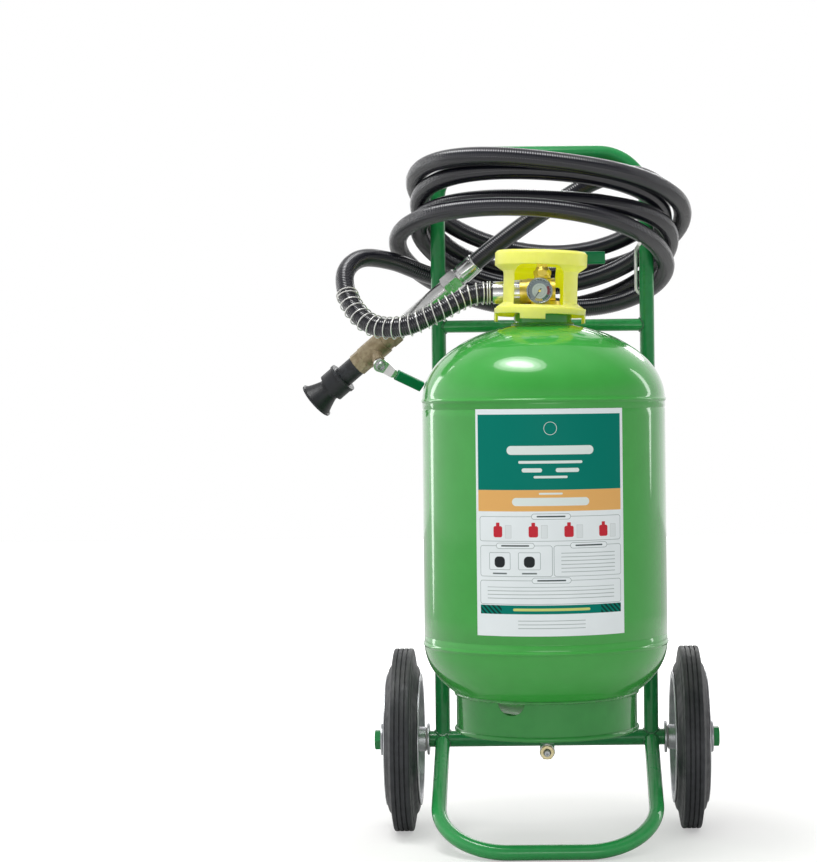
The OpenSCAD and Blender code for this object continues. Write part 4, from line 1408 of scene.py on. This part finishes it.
LABEL_SHEET = LabelPrint(
    "Printed label sheet", "#E8EFF1", "#E2E9EB", worn="#FFFFFF", roughness=(0.38, 0.48),
    specular=0.08, grain=0.006, relief=0.00001, wear=0.0, dust=0.02)
WELD_GREEN = Finish(
    "Weld under green enamel", "#2E9438", "#257F30", worn="#1F6B2A", roughness=(0.25, 0.4), coat=0.8,
    coat_roughness=0.08, grain=0.0022, relief=0.0004, wear=0.1, dust=0.05)


def weld_line(points: Line, bead: float, name: str, place: Matrix = Matrix.Identity(4)) -> bpy.types.Object:
    """Lay a closed weld bead whose scales swell and shrink along it.

    Args:
        points: the closed line that the bead follows.
        bead: the bead's radius.
        name: the piece's name.
        place: where it goes.

    Returns:
        The bead.
    """
    sides = 8
    piece = tube(name, points, bead, place, sides, ring=True)
    for index, vertex in enumerate(piece.data.vertices):
        scale = index // sides
        centre = (place @ points[scale]) * MM
        swell = 1.0 + 0.16 * math.sin(scale * 2.1) + 0.07 * math.sin(scale * 0.83 + 1)
        vertex.co = centre + (vertex.co - centre) * swell
    return piece


@dataclass
class PressureVessel:
    """The welded vessel with its foot ring, neck and printed label.

    Attributes:
        radius: outer radius.
        low_weld: height where the bottom head starts.
        high_weld: height where the top head starts.
        top_rise: rise of the top head.
        bottom_drop: drop of the bottom head.
        wall_steps: heights of the rows of points between the two seams.
        label_turn: how far the label's middle is turned from the front, in degrees.
        label_width: the label's width round the vessel.
        label_low: height of the label's lower edge.
        label_high: height of its upper edge.
        label_inset: how far the sheet's face stands in from its back's edge.
        label_back: how far the sheet's back stands off the shell.
        label_face: how far its face stands off the shell.
        neck: radius of the hole for the neck.
        rings: weld beads, each with its name, radius and height.
        ring_bead: radius of those beads.
    """

    radius: float = 150.0
    low_weld: float = 262.0
    high_weld: float = 560.0
    top_rise: float = 95.0
    bottom_drop: float = 92.0
    wall_steps: tuple[float, ...] = (300, 350, 400, 450, 500, 540)
    label_turn: float = 2.8
    label_width: float = 185.4
    label_low: float = 283.3
    label_high: float = 550.0
    label_inset: float = 0.25
    label_back: float = 0.06
    label_face: float = 0.3
    neck: float = 30.0
    rings: tuple[tuple[str, float, float], ...] = (
        ("foot_ring_weld", 111.7, 200.3), ("neck_weld", 36.4, 652.6))
    ring_bead: float = 2.2

    def outline(self) -> Profile:
        """Give the shell's outline from its bottom pole to the neck."""
        steps = 44
        quarter = [math.pi / 2 * i / steps for i in range(steps + 1)]
        made = [
            (self.radius * math.cos(a), self.low_weld - self.bottom_drop * math.sin(a))
            for a in quarter[::-1]]
        made += self.seam(self.low_weld, 1)
        made += [(self.radius, z) for z in self.wall_steps]
        made += self.seam(self.high_weld, -1)
        made += [
            (self.radius * math.cos(a), self.high_weld + self.top_rise * math.sin(a))
            for a in quarter[1:] if self.radius * math.cos(a) > self.neck]
        edge = math.sqrt(1 - (self.neck / self.radius) ** 2)
        return made + [(self.neck, self.high_weld + self.top_rise * edge)]

    def seam(self, z: float, side: int) -> Profile:
        """Give the outline of a seam: a low bead and a fine step beside it.

        Args:
            z: height of the bead.
            side: 1 where the step lies above the bead, -1 where it lies below.

        Returns:
            The outline, from below to above.
        """
        r, rise, half, depth = self.radius, 1.5, 3.2, 0.45
        bead = [(r + rise * math.cos(math.pi * k / 16) ** 2, z + half * k / 8) for k in range(-8, 9)]
        step = [
            (r - low * depth, z + side * off) for low, off in ((0, 9.0), (1, 9.8), (1, 11.2), (0, 12.0))]
        return bead + step if side > 0 else step[::-1] + bead

    def shell(self) -> None:
        """Turn the shell."""
        piece = lathe("vessel_shell", self.outline(), TANK_AXIS, steps=160)
        place_piece(piece, VESSEL_GREEN, TROLLEY, ["tank_shell"])

    def welds(self) -> None:
        """Lay the beads of the foot ring and the neck."""
        for name, radius, z in self.rings:
            line = circle(radius, round(radius * 2 * math.pi / self.ring_bead), z)
            bead = weld_line(line, self.ring_bead, name, TANK_AXIS)
            place_piece(bead, WELD_GREEN, TROLLEY)

    def label(self) -> None:
        """Wrap the printed sheet round the shell."""
        wide, high = 60, 24
        points: Line = []
        flat: Line = []
        for off, inset in ((self.label_back, 0.0), (self.label_face, self.label_inset)):
            r = self.radius + off
            for j in range(high + 1):
                z = self.label_low + inset + (self.label_high - self.label_low - 2 * inset) * j / high
                for i in range(wide + 1):
                    u = (self.label_width / 2 - inset) * (2 * i / wide - 1)
                    a = u / self.radius + math.radians(self.label_turn)
                    points.append(Vector((r * math.sin(a), -r * math.cos(a), z)))
                    flat.append(Vector((u, z, 0)))
        row = wide + 1
        top = row * (high + 1)
        faces: list[Sequence[int]] = []
        for j in range(high):
            for i in range(wide):
                k = top + j * row + i
                faces.append((k, k + 1, k + row + 1, k + row))
        rim = [*range(row), *(j * row + wide for j in range(1, high + 1)),
               *range(top - 2, top - row - 1, -1), *(j * row for j in range(high - 1, 0, -1))]
        for k, here in enumerate(rim):
            there = rim[(k + 1) % len(rim)]
            faces.append((here, there, there + top, here + top))
        piece = mesh_piece("label_sheet", points, faces, TANK_AXIS, flat=flat)
        place_piece(piece, LABEL_SHEET, TROLLEY)

    def build(self) -> None:
        """Build the vessel."""
        self.shell()
        self.welds()
        self.label()
        # The foot ring takes the darker copy of the vessel green, which is painted shade.
        dress_solids(FOOT_SHADED_GREEN, "foot_ring")
        dress_solids(VESSEL_GREEN, "neck_boss")


# ------------------------------------------------------------ trolley


class Side(Enum):
    """A side of the trolley, as the way it lies along X."""

    LEFT = -1
    RIGHT = 1

    @property
    def word(self) -> str:
        """Give the word that its pieces' names start with."""
        return self.name.lower()

    @property
    def axle(self) -> Matrix:
        """Give the axle's middle, with +Z out to this side."""
        return moved(0, AXLE_Y, AXLE_Z) @ turned(y=self.value * 90)


@dataclass
class Trolley:
    """The tube frame, its welds, the axle and the earthing terminal.

    Attributes:
        tube: radius of the frame tube.
        bar: radius of the bars between the uprights.
        axle_tube: radius of the axle tube.
        axle: radius of the axle rod.
        upright: how far each upright stands from the middle.
        bars: heights of the bars.
        stand_reach: reach of the front stand.
        bead: radius of the weld beads.
        nut_flats: width of an axle nut across its flats.
        nut_length: length of an axle nut.
        nut_at: how far from the middle the nuts start.
        washer: radius of an axle washer.
        washer_thick: thickness of an axle washer.
        washers_at: how far from the middle the washers start.
        stud: radius of the earth stud's thread.
        stud_length: its length.
        stud_height: its height.
        stud_root: how far behind the origin it starts.
        lug: half the width of the lug that holds it.
        lug_drop: how far the lug reaches from the stud to the axle tube.
        lug_thick: thickness of the lug.
        lug_back: how far behind the origin its back lies.
    """

    tube: float = 9.5
    bar: float = 8.0
    axle_tube: float = 10.5
    axle: float = 8.0
    upright: float = 136.0
    bars: tuple[float, float, float] = (656.0, 520.0, 300.0)
    stand_reach: float = 205.0
    bead: float = 1.7
    nut_flats: float = 24.0
    nut_length: float = 8.0
    nut_at: float = 216.5
    washer: float = 20.5
    washer_thick: float = 3.0
    washers_at: tuple[float, float] = (153.0, 213.5)
    stud: float = 5.0
    stud_length: float = 20.0
    stud_height: float = 102.0
    stud_root: float = 82.4
    lug: float = 9.4
    lug_drop: float = 12.5
    lug_thick: float = 3.9
    lug_back: float = 86.4

    def saddle(self, reach: float, around: float) -> Profile:
        """Give the round a tube makes on the tube that it meets.

        Args:
            reach: radius of the tube that ends.
            around: radius of the tube that it meets.

        Returns:
            The angle of each point and its distance from the met tube's middle.
        """
        return [(a, math.sqrt(max(0.0, around ** 2 - (reach * math.sin(a)) ** 2))) for a in round_turn(30)]

    def welds(self) -> None:
        """Lay a bead round each joint of the frame."""
        drop = AXLE_Z - self.tube
        long = math.hypot(self.stand_reach, drop)
        ahead = Vector((0, -self.stand_reach / long, -drop / long))
        over = Vector((0, ahead.z, -ahead.y))
        for side in Side:
            for number, z in enumerate(self.bars, 1):
                self.lay(f"{side.word}_bar_weld_{number}", [
                    Vector((side.value * (self.upright - off), AXLE_Y + self.bar * math.sin(a),
                            z + self.bar * math.cos(a)))
                    for a, off in self.saddle(self.bar, self.tube)])
            foot = Vector((side.value * self.upright, AXLE_Y, AXLE_Z))
            around = self.saddle(self.tube, self.axle_tube)
            self.lay(f"{side.word}_upright_weld", [
                foot + Vector((self.tube * math.cos(a), self.tube * math.sin(a), off)) for a, off in around])
            self.lay(f"{side.word}_stand_weld", [
                foot + Vector((self.tube * math.cos(a), 0, 0)) + over * self.tube * math.sin(a) + ahead * off
                for a, off in around])

    def lay(self, name: str, line: Line) -> None:
        """Lay one bead of the frame."""
        place_piece(weld_line(line, self.bead, name), FRAME_WELD, TROLLEY)

    def terminal(self) -> None:
        """Build the earthing lug, its stud, washer and nut."""
        dress_solids(ZINC, "earth_washer")
        dress_solids(YELLOW_ZINC, "earth_nut")
        place = moved(0, self.stud_root, self.stud_height) @ FACING_FRONT
        place_piece(lathe("earth_stud", self.thread(), place, steps=32), ZINC, TROLLEY)
        lower_half = [math.pi * (1 + k / 20) for k in range(21)]
        eye = [(self.lug * math.cos(a), self.lug * math.sin(a)) for a in lower_half]
        outline = [*eye, (self.lug, self.lug_drop), (-self.lug, self.lug_drop)]
        place = moved(0, self.lug_back, self.stud_height) @ FACING_FRONT
        lug = plate("earth_lug_plate", outline, self.lug_thick, place, edge=0.4)
        place_piece(lug, TUBE_GREEN, TROLLEY, ["earth_lug"])

    def thread(self) -> Profile:
        """Give the outline of the earth stud: a thread, a plain tip and a dimple in its end."""
        pitch, plain, tip, dimple = 1.25, 10.0, 4.0, 1.5
        root, end = self.stud - 0.55, self.stud_length
        made: Profile = [(self.stud - 0.5, 0.0)]
        z = 0.0
        while z < end - plain:
            made += [(self.stud - 0.05, z + 0.35), (root, z + 1.0)]
            z += pitch
        made += [(tip, end - plain + 0.2), (tip, end - 0.8), (tip - 0.7, end)]
        return made + [(1.6, end), (1.2, end - dimple), (0.0, end - dimple)]

    def axle_ends(self) -> None:
        """Build the nuts and washers on the axle."""
        for side in Side:
            first = side is Side.LEFT
            cap = nut(f"{side.word}_axle_nut", self.nut_flats, self.axle, self.nut_length,
                      side.axle @ moved(z=self.nut_at))
            place_piece(cap, TUBE_GREEN, TROLLEY, ["axle_nuts"] if first else [])
            for number, z in enumerate(self.washers_at, 1):
                washer = ring(f"{side.word}_axle_washer_{number}", self.axle, self.washer, self.washer_thick,
                              side.axle @ moved(z=z), edge=0.6)
                place_piece(washer, ZINC, TROLLEY,
                            ["axle_washers"] if first and number == 1 else [])

    def build(self) -> None:
        """Dress the frame and build its small pieces."""
        self.welds()
        dress_solids(TUBE_GREEN, "push_frame", "axle_tube", "upper_carrier", "lower_carrier", "axle_rod")
        # The crossbar and front stand take the brighter copy of the trolley green, which is painted light.
        dress_solids(STAND_LIT_GREEN, "crossbar", "front_stand")
        self.axle_ends()
        dress_solids(SPRING_STEEL, "hose_hook")
        self.terminal()


FRAME_WELD = Finish(
    "Weld under frame enamel", "#1C7840", "#156034", worn="#0F4A26", roughness=(0.25, 0.4), coat=0.7,
    coat_roughness=0.1, grain=0.002, relief=0.0004, wear=0.1, dust=0.06)


# ------------------------------------------------------------ wheels


@dataclass
class Wheel:
    """A rubber tyre on a pressed rim with a pipe hub.

    Attributes:
        side: the side that it stands on.
        track: distance between the two wheels' middles.
        radius: the tyre's radius.
        tread: width of the tread.
        width: width of the tyre over its beads.
        seat: radius of the rim's seat.
        flange: radius of the rim's flanges.
        rim_half: half the rim's width.
        rim_wall: thickness of the rim's channel.
        hub: radius of the hub.
        hub_bore: radius of the hub's bore, which holds the bushes.
        hub_ends: where the hub starts and ends, from the wheel's middle.
        bush_bore: radius of the bushes' bore.
        bush_flange: radius of their flange.
        bush_length: length of their barrel.
        bush_wall: thickness of their flange.
    """

    side: Side
    track: float = 372.0
    radius: float = 118.0
    tread: float = 25.0
    width: float = 40.5
    seat: float = 78.0
    flange: float = 85.0
    rim_half: float = 22.5
    rim_wall: float = 2.0
    hub: float = 16.0
    hub_bore: float = 11.0
    hub_ends: tuple[float, float] = (-28.4, 25.9)
    bush_bore: float = 8.05
    bush_flange: float = 14.0
    bush_length: float = 16.0
    bush_wall: float = 1.2

    @property
    def place(self) -> Matrix:
        """Give the wheel's place, with its axis outwards."""
        return self.side.axle @ moved(z=self.track / 2)

    def tyre_outline(self) -> Profile:
        """Give the tyre's closed section as radius and offset."""
        r, t, w = self.radius, self.tread / 2, self.width / 2
        depth = 2.2
        half: Profile = [(r - depth, 0.0)]
        for x in (0.0, 6.0):
            groove = [(r, x - 0.95), (r - 0.4, x - 0.75), (r - depth, x - 0.6), (r - depth, x + 0.6),
                      (r - 0.4, x + 0.75), (r, x + 0.95)]
            half += [point for point in groove if point[1] >= 0]
        half += [
            (r, t - 2.6), (r - 0.4, t - 1.1), (r - 1.4, t - 0.3), (r - 3, t), (r - 8, t + 0.9),
            (r - 8.4, t + 0.5), (r - 9.6, t + 0.5), (r - 10, t + 1.3), (r - 19, t + 2.6), (r - 22, t + 4.0),
            (r - 25, w - 1.6), (r - 28, w - 0.6), (r - 31, w - 0.1), (r - 33, w - 0.1), (r - 33.4, w - 0.6),
            (r - 34.4, w - 0.6), (r - 34.8, w - 0.2), (self.seat + 3.4, w - 0.4), (self.seat + 1, w - 1.8),
            (self.seat + 0.05, w - 3.2)]
        return half + [(radius, -off) for radius, off in half[:0:-1]]

    def dress(self, piece: bpy.types.Object, finish: Finish, part: str, first: bool = True) -> None:
        """Dress a piece of the wheel.

        Args:
            piece: the piece.
            finish: its finish.
            part: the part of the wheel that it belongs to.
            first: whether it is the piece that replaces that part's solid.
        """
        node = f"{self.side.word}_{part}"
        place_piece(piece, finish, f"{self.side.word}_wheel", [node] if first else [])

    def build(self) -> None:
        """Build the wheel."""
        word = self.side.word
        tyre = lathe(f"{word}_tyre_ring", self.tyre_outline(), self.place, steps=144, loop=True)
        self.dress(tyre, TYRE_RUBBER, "tyre")
        self.rim()
        inner, outer = self.hub_ends
        place = self.place @ moved(z=inner)
        hub = ring(f"{word}_hub_tube", self.hub_bore, self.hub, outer - inner, place, edge=0.8)
        self.dress(hub, ZINC, "hub")
        section = [
            (self.bush_bore, -self.bush_wall), (self.bush_flange, -self.bush_wall), (self.bush_flange, 0.0),
            (self.hub_bore, 0.0), (self.hub_bore, self.bush_length), (self.bush_bore, self.bush_length)]
        for number, (z, turn) in enumerate(((inner, turned()), (outer, turned(x=180))), 1):
            place = self.place @ moved(z=z) @ turn
            bush = lathe(f"{word}_bush_{number}", looped(section, 0.3), place, 64, loop=True)
            self.dress(bush, WHITE_NYLON, "bushes", number == 1)

    def rim(self) -> None:
        """Build the rolled channel and the pressed disc of the rim."""
        seat, flange, half, wall = self.seat, self.flange, self.rim_half, self.rim_wall
        channel = [
            (seat - wall, -half), (flange - 0.4, -half), (flange, -half + 0.5), (flange, wall - half - 0.5),
            (flange - 0.4, wall - half), (seat, wall - half), (seat, half - wall),
            (flange - 0.4, half - wall), (flange, half - wall + 0.5), (flange, half - 0.5),
            (flange - 0.4, half), (seat - wall, half)]
        disc = [
            (self.hub, 6.0), (30.0, 6.0), (42.0, -4.0), (58.0, -4.0), (66.0, 3.0), (seat - wall, 3.0),
            (seat - wall, 5.5), (65.0, 5.5), (57.0, -1.5), (43.0, -1.5), (31.0, 8.5), (self.hub, 8.5)]
        word = self.side.word
        for part, section, radius in (("channel", channel, 0.7), ("disc", disc, 2.2)):
            made = lathe(f"{word}_rim_{part}", looped(section, radius, 4), self.place, steps=128, loop=True)
            self.dress(made, ZINC, "rim", part == "channel")
        for z, name in ((8.4, "outer"), (6.1, "inner")):
            weld = weld_line(circle(self.hub + 1, 52, z), 1.3, f"{word}_hub_weld_{name}", self.place)
            self.dress(weld, ZINC, "rim", False)


# ------------------------------------------------------------ valve head


@dataclass(frozen=True)
class DialPrint(Finish):
    """A pale gauge dial with a coloured scale and plain marks.

    A span is the inner and the outer radius of what is printed in it.

    Attributes:
        arcs: the coloured parts of the scale, each with its two ends in degrees.
        scale: the span of those parts.
        surround: the span of the grey field that they lie on.
        ticks: the span of the pale marks.
        tick_step: the angle between two marks, in degrees.
        fine_ring: the span of the thin ring inside the scale.
    """

    arcs: tuple[tuple[float, float, str], ...] = (
        (-24, 30, "#8E1F30"), (-72, -25, "#1D5F45"), (-118, -73, "#C4B032"))
    scale: tuple[float, float] = (9.6, 12.7)
    surround: tuple[float, float] = (9.3, 20.0)
    ticks: tuple[float, float] = (12.9, 13.7)
    tick_step: float = 15.0
    fine_ring: tuple[float, float] = (6.6, 6.9)

    def base(self, shader: ShaderTree, grain: bpy.types.Node) -> bpy.types.NodeSocket:
        """Draw the scale round the dial's middle."""
        spot = shader.node("Attribute", attribute_name="print").outputs["Vector"]
        across, up = shader.parts(spot)[:2]
        angle = shader.math("ARCTAN2", up, across)
        far = shader.node("VectorMath", operation="LENGTH")
        shader.join(spot, far.inputs[0])
        reach = far.outputs["Value"]

        def between(value: bpy.types.NodeSocket, low: float, high: float) -> bpy.types.NodeSocket:
            """Mask the values between two limits."""
            above = shader.math("GREATER_THAN", value, low)
            return shader.math("MULTIPLY", above, shader.math("LESS_THAN", value, high))

        def arc(low: float, high: float) -> bpy.types.NodeSocket:
            """Mask a part of the scale."""
            turn = between(angle, math.radians(low), math.radians(high))
            return shader.math("MULTIPLY", turn, between(reach, *self.scale))

        colour = super().base(shader, grain)
        colour = shader.mix(between(reach, *self.surround), colour, "#858E94")
        for low, high, paint in self.arcs:
            colour = shader.mix(arc(low, high), colour, paint)
        part = shader.math("FRACT", shader.math("DIVIDE", angle, math.radians(self.tick_step)))
        off_middle = shader.math("ABSOLUTE", shader.math("SUBTRACT", part, 0.5))
        tick = shader.math("GREATER_THAN", off_middle, 0.42)
        marks = shader.math("MULTIPLY", tick, between(reach, *self.ticks))
        colour = shader.mix(marks, colour, "#E4E8E6")
        return shader.mix(between(reach, *self.fine_ring), colour, "#9AA498")


GAUGE_DIAL = DialPrint(
    "Printed gauge dial", "#C9D0C8", "#C0C8C0", roughness=(0.4, 0.5), grain=0.002, relief=0.000004, wear=0.0,
    dust=0.0)


@dataclass(frozen=True)
class LensGlass:
    """Clear moulded lens with faint ripples."""

    name: str = "Clear gauge lens"

    def material(self) -> bpy.types.Material:
        """Give the material, built the first time it is asked for."""
        return bpy.data.materials.get(self.name) or self.build()

    def build(self) -> bpy.types.Material:
        """Build the material."""
        made, shader, surface = new_material(self.name)
        grain = place_group(shader, grain_group(), Size=0.004, Contrast=0.5)
        ripple = shader.fill(shader.node("Bump"), Distance=0.00001, Height=grain.outputs["Height"])
        dull = shader.spread(grain.outputs["Mask"], 0.0, 1.0, 0.01, 0.05)
        shader.fill(surface, Transmission_Weight=1.0, IOR=1.3, Base_Color="#F6FAF8", Roughness=dull,
                    Normal=ripple.outputs["Normal"])
        return made


LENS_GLASS = LensGlass()


@dataclass
class PressureGauge:
    """The round gauge on the valve's front.

    Attributes:
        radius: outer radius of its case.
        x: how far it sits from the middle.
        face: how far its rim stands in front of the vessel's axis.
        height: height of its middle.
        reading: where its pointer points, in degrees from the right.
    """

    radius: float = 16.0
    x: float = -3.5
    face: float = 42.0
    height: float = 693.0
    reading: float = -125.0

    def build(self) -> None:
        """Build the case, dial, pointer and lens."""
        r = self.radius
        bore = r - 2.1
        front = TANK_AXIS @ moved(self.x, -self.face, self.height) @ FACING_FRONT
        case: Profile = [
            (0.0, -24.0), (3.8, -24.0), (3.8, -17.6), (5.9, -17.4), (5.9, -14.9), (r - 2.2, -14.9),
            (r - 0.9, -14.4), (r - 0.4, -13.2), (r - 0.4, -3.9), (r, -3.6), (r, -0.9), (r - 0.3, -0.25),
            (r - 1.0, 0.0), (r - 1.7, -0.3), (r - 2.0, -1.0), (r - 2.0, -4.2), (0.0, -4.2)]
        housing = lathe("gauge_housing", eased(case, 0.35, 2), front, steps=72)
        place_piece(housing, GAUGE_STEEL, TROLLEY, ["gauge_case"])
        rim = circle(bore, 64)
        disc = [*rim, Vector((0, 0, 0))]
        faces = [(k, (k + 1) % len(rim), len(rim)) for k in range(len(rim))]
        dial = mesh_piece("gauge_face", disc, faces, front @ moved(z=-4.1), flat=disc)
        place_piece(dial, GAUGE_DIAL, TROLLEY, ["gauge_dial"])
        needle = [
            (-3.6, -0.75), (-2.4, -0.5), (0, -0.75), (10.2, -0.18), (10.2, 0.18), (0, 0.75), (-2.4, 0.5),
            (-3.6, 0.75)]
        hand = plate("gauge_needle", needle, 0.5, front @ moved(z=-3.4) @ turned(z=self.reading), edge=0.1)
        place_piece(hand, BLACK_PLASTIC, TROLLEY, ["gauge_pointer"])
        button = [(0, -2.2), (1.4, -2.3), (1.7, -3.0), (1.7, -3.9)]
        cap = lathe("gauge_needle_cap", eased(button, 0.3, 2), front, steps=24)
        place_piece(cap, BRASS, TROLLEY)
        dome = [(0.0, -0.95), (5.0, -1.05), (10.0, -1.3), (bore, -1.75), (bore, -2.6), (0.0, -2.6)]
        lens = lathe("gauge_glass", dome, front, steps=64)
        place_piece(lens, LENS_GLASS, TROLLEY, ["gauge_lens"])


GAUGE_STEEL = Finish(
    "Gauge case steel", "#A9AFB2", "#8F979B", worn="#D8DADA", roughness=(0.2, 0.32), metallic=1.0,
    grain=0.0012, relief=0.00001, wear=0.3, dust=0.04)


@dataclass
class ValveHead:
    """The brass ball valve, its lever, the gauge and the guard round them.

    Attributes:
        guard_x: how far the guard sits from the middle.
        guard_grid: size of the grid that the guard is moulded on.
        guard_keep: share of that grid's faces that stays.
        grip_place: where the lever's sleeve starts, from the vessel's axis.
        grip_size: the sleeve's width, thickness and length.
        gauge: the gauge.
    """

    guard_x: float = -2.4
    guard_grid: float = 0.6
    guard_keep: float = 0.15
    grip_place: Spot = (43.0, 63.5, 738.5)
    grip_size: tuple[float, float, float] = (16.0, 9.0, 36.5)
    gauge: PressureGauge = field(default_factory=PressureGauge)

    def build(self) -> None:
        """Dress the valve and build the guard, the sleeve and the gauge."""
        dress_solids(BRASS, "valve_body", "valve_end_cap", "bonnet_plug")
        dress_solids(BRIGHT_STEEL, "hose_coupling", "valve_lever", "valve_ball", "valve_stem")
        dress_solids(BLACK_PLASTIC, "neck_seal")
        dress_solids(ZINC, "valve_lever_nut")
        dress_solids(WHITE_NYLON, "valve_seats", "dip_tube")
        self.guard()
        place = TANK_AXIS @ moved(*self.grip_place) @ ALONG_X
        grip = rounded_bar("valve_lever_sleeve", *self.grip_size, place, corner=3.0, end=1.4)
        place_piece(grip, GRIP_GREEN, VALVE_SET, ["valve_lever_grip"])
        self.gauge.build()

    def guard(self) -> None:
        """Mould the guard and mark the inner side of its wall, where its painted glow goes."""
        piece = moulded("valve_guard", self.guard_grid, "guard_moulding", self.guard_keep)
        middle = Vector((self.guard_x, TANK_AXIS.translation.y)) * MM
        steepness = 1.6
        depth = []
        for vertex in piece.data.vertices:
            out = (vertex.co.xy - middle).normalized()
            depth.append(max(0.0, min(1.0, -steepness * vertex.normal.xy.dot(out))))
        # The inside mark places the guard's painted glow and brighter painted inner colour.
        mark_points(piece, "inside", depth)
        place_piece(piece, GUARD_YELLOW, TROLLEY, ["valve_guard"])


@dataclass(frozen=True)
class GuardPlastic(Finish):
    """Thin yellow plastic with a painted glow and a brighter, more saturated painted colour on its inner
    side, which stand in for light that comes through the wall.

    Attributes:
        inner: the painted colour of that side, brighter for light through the wall.
        through: the colour of a painted glow there, an emission that stands in for light through the wall.
    """

    inner: str = "#F2F600"
    through: str = "#585A02"

    def base(self, shader: ShaderTree, grain: bpy.types.Node) -> bpy.types.NodeSocket:
        """Give the colour, with a brighter painted colour and a painted glow inside, where light would come
        through.
        """
        inside = shader.node("Attribute", attribute_name="inside").outputs["Fac"]
        # Painted glow: the inner side gives off light, though it is no lamp.
        shader.fill(shader.tree.nodes["Principled BSDF"], Emission_Strength=1.0,
                    Emission_Color=shader.mix(inside, "#000000", self.through))
        # Painted light: the brighter, more saturated colour on the inner side.
        return shader.mix(inside, super().base(shader, grain), self.inner)


GUARD_YELLOW = GuardPlastic(
    "Guard yellow plastic", "#F0F378", "#ECEF6E", worn="#F6F8A0", roughness=(0.36, 0.44),
    grain=0.0012, relief=0.00002, wear=0.1, dust=0.01, glow=1.0)


# ------------------------------------------------------------ spray gun


@dataclass(frozen=True)
class SprayGun:
    """The gun on the hose's end: ferrule, lance, ball valve and nozzle.

    Attributes:
        place: the gun's place, with its axis along +Z from the hose's end.
        bore: radius of the bore through it.
        ferrule: radius of the ferrule's collar.
        ferrule_length: its length.
        crimps: number of pressed flats round it.
        nut_flats: width of the swivel nut across its flats.
        nut_length: its length.
        lance: radius of the lance.
        lance_length: its length.
        far: solids that stay in view, each with its finish.
    """

    place: Matrix = TANK_AXIS @ moved(-86, 127, 737.5) @ GUN_TURN
    bore: float = 8.0
    ferrule: float = 13.4
    ferrule_length: float = 29.0
    crimps: int = 8
    nut_flats: float = 26.0
    nut_length: float = 22.0
    lance: float = 11.5
    lance_length: float = 87.0
    far: tuple[tuple[str, Finish], ...] = (
        ("gun_valve_body", CAST_BRASS), ("gun_ball", BRIGHT_STEEL), ("gun_stem", ZINC),
        ("gun_lever", BRIGHT_STEEL), ("gun_lever_nut", ZINC), ("gun_lever_grip", GRIP_GREEN),
        ("nozzle_sleeve", BLACK_PLASTIC), ("nozzle_collar", BLACK_PLASTIC), ("nozzle_horn", BLACK_PLASTIC))

    def crimped(self) -> bpy.types.Object:
        """Build the ferrule, pressed on the hose between its collar and its neck."""
        steps, press, sharpness = 96, 0.55, 0.6
        end, edge = self.ferrule_length, self.ferrule
        pressed_from, pressed_to = 3.0, 24.0
        rows = [
            (edge - 0.8, 0.0), (edge, 0.6), (edge, 2.0), (12.9, 2.5), (12.8, 3.2), (12.8, 23.2), (12.5, 24.0),
            (12.2, 24.3), (12.2, end - 0.4), (11.8, end), (self.bore, end), (self.bore, 0.0)]
        points: Line = []
        for radius, z in rows:
            for a in round_turn(steps):
                bulge = press * abs(math.cos(a * self.crimps / 2)) ** sharpness
                reach = min(radius + (bulge if pressed_from < z < pressed_to else 0.0), edge)
                points.append(Vector((reach * math.cos(a), reach * math.sin(a), z)))
        return mesh_piece("hose_end_ferrule", points, skin(len(rows), steps, closed=True), self.place)

    def near(self) -> list[tuple[str, bpy.types.Object]]:
        """Build the ferrule, its nut and the lance."""
        nut_end = self.ferrule_length + self.nut_length
        ferrule = self.crimped()
        swivel = nut("gun_swivel_nut", self.nut_flats, self.bore, self.nut_length,
                     self.place @ moved(z=self.ferrule_length))
        end, edge = self.lance_length, 0.9
        section = [
            (self.bore, 0.0), (self.lance - edge, 0.0), (self.lance, edge), (self.lance, end - edge),
            (self.lance - edge, end), (self.bore, end)]
        lance = lathe("gun_lance_tube", looped(section, 0.4), self.place @ moved(z=nut_end), 64, loop=True)
        return [("hose_ferrule", ferrule), ("gun_nut", swivel), ("gun_lance", lance)]

    def build(self) -> list[str]:
        """Build the gun and give the names of its pieces."""
        made = [
            place_piece(piece, BRIGHT_STEEL, TROLLEY, [node]).name
            for node, piece in self.near()
        ]
        for node, finish in self.far:
            dress_solids(finish, node)
        return [*made, *(node for node, _ in self.far)]


# ------------------------------------------------------------ whole object


def main() -> None:
    """Build every sub-assembly in order."""
    studio = Studio()
    studio.camera()
    gun = SprayGun()
    hose = Hose()
    hose.build(gun.build())
    PressureVessel().build()
    Trolley().build()
    for side in Side:
        Wheel(side).build()
    ValveHead().build()
    studio.build()


if __name__ == "__main__":
    logging.basicConfig(level=logging.INFO, format="%(name)s: %(message)s")
    main()
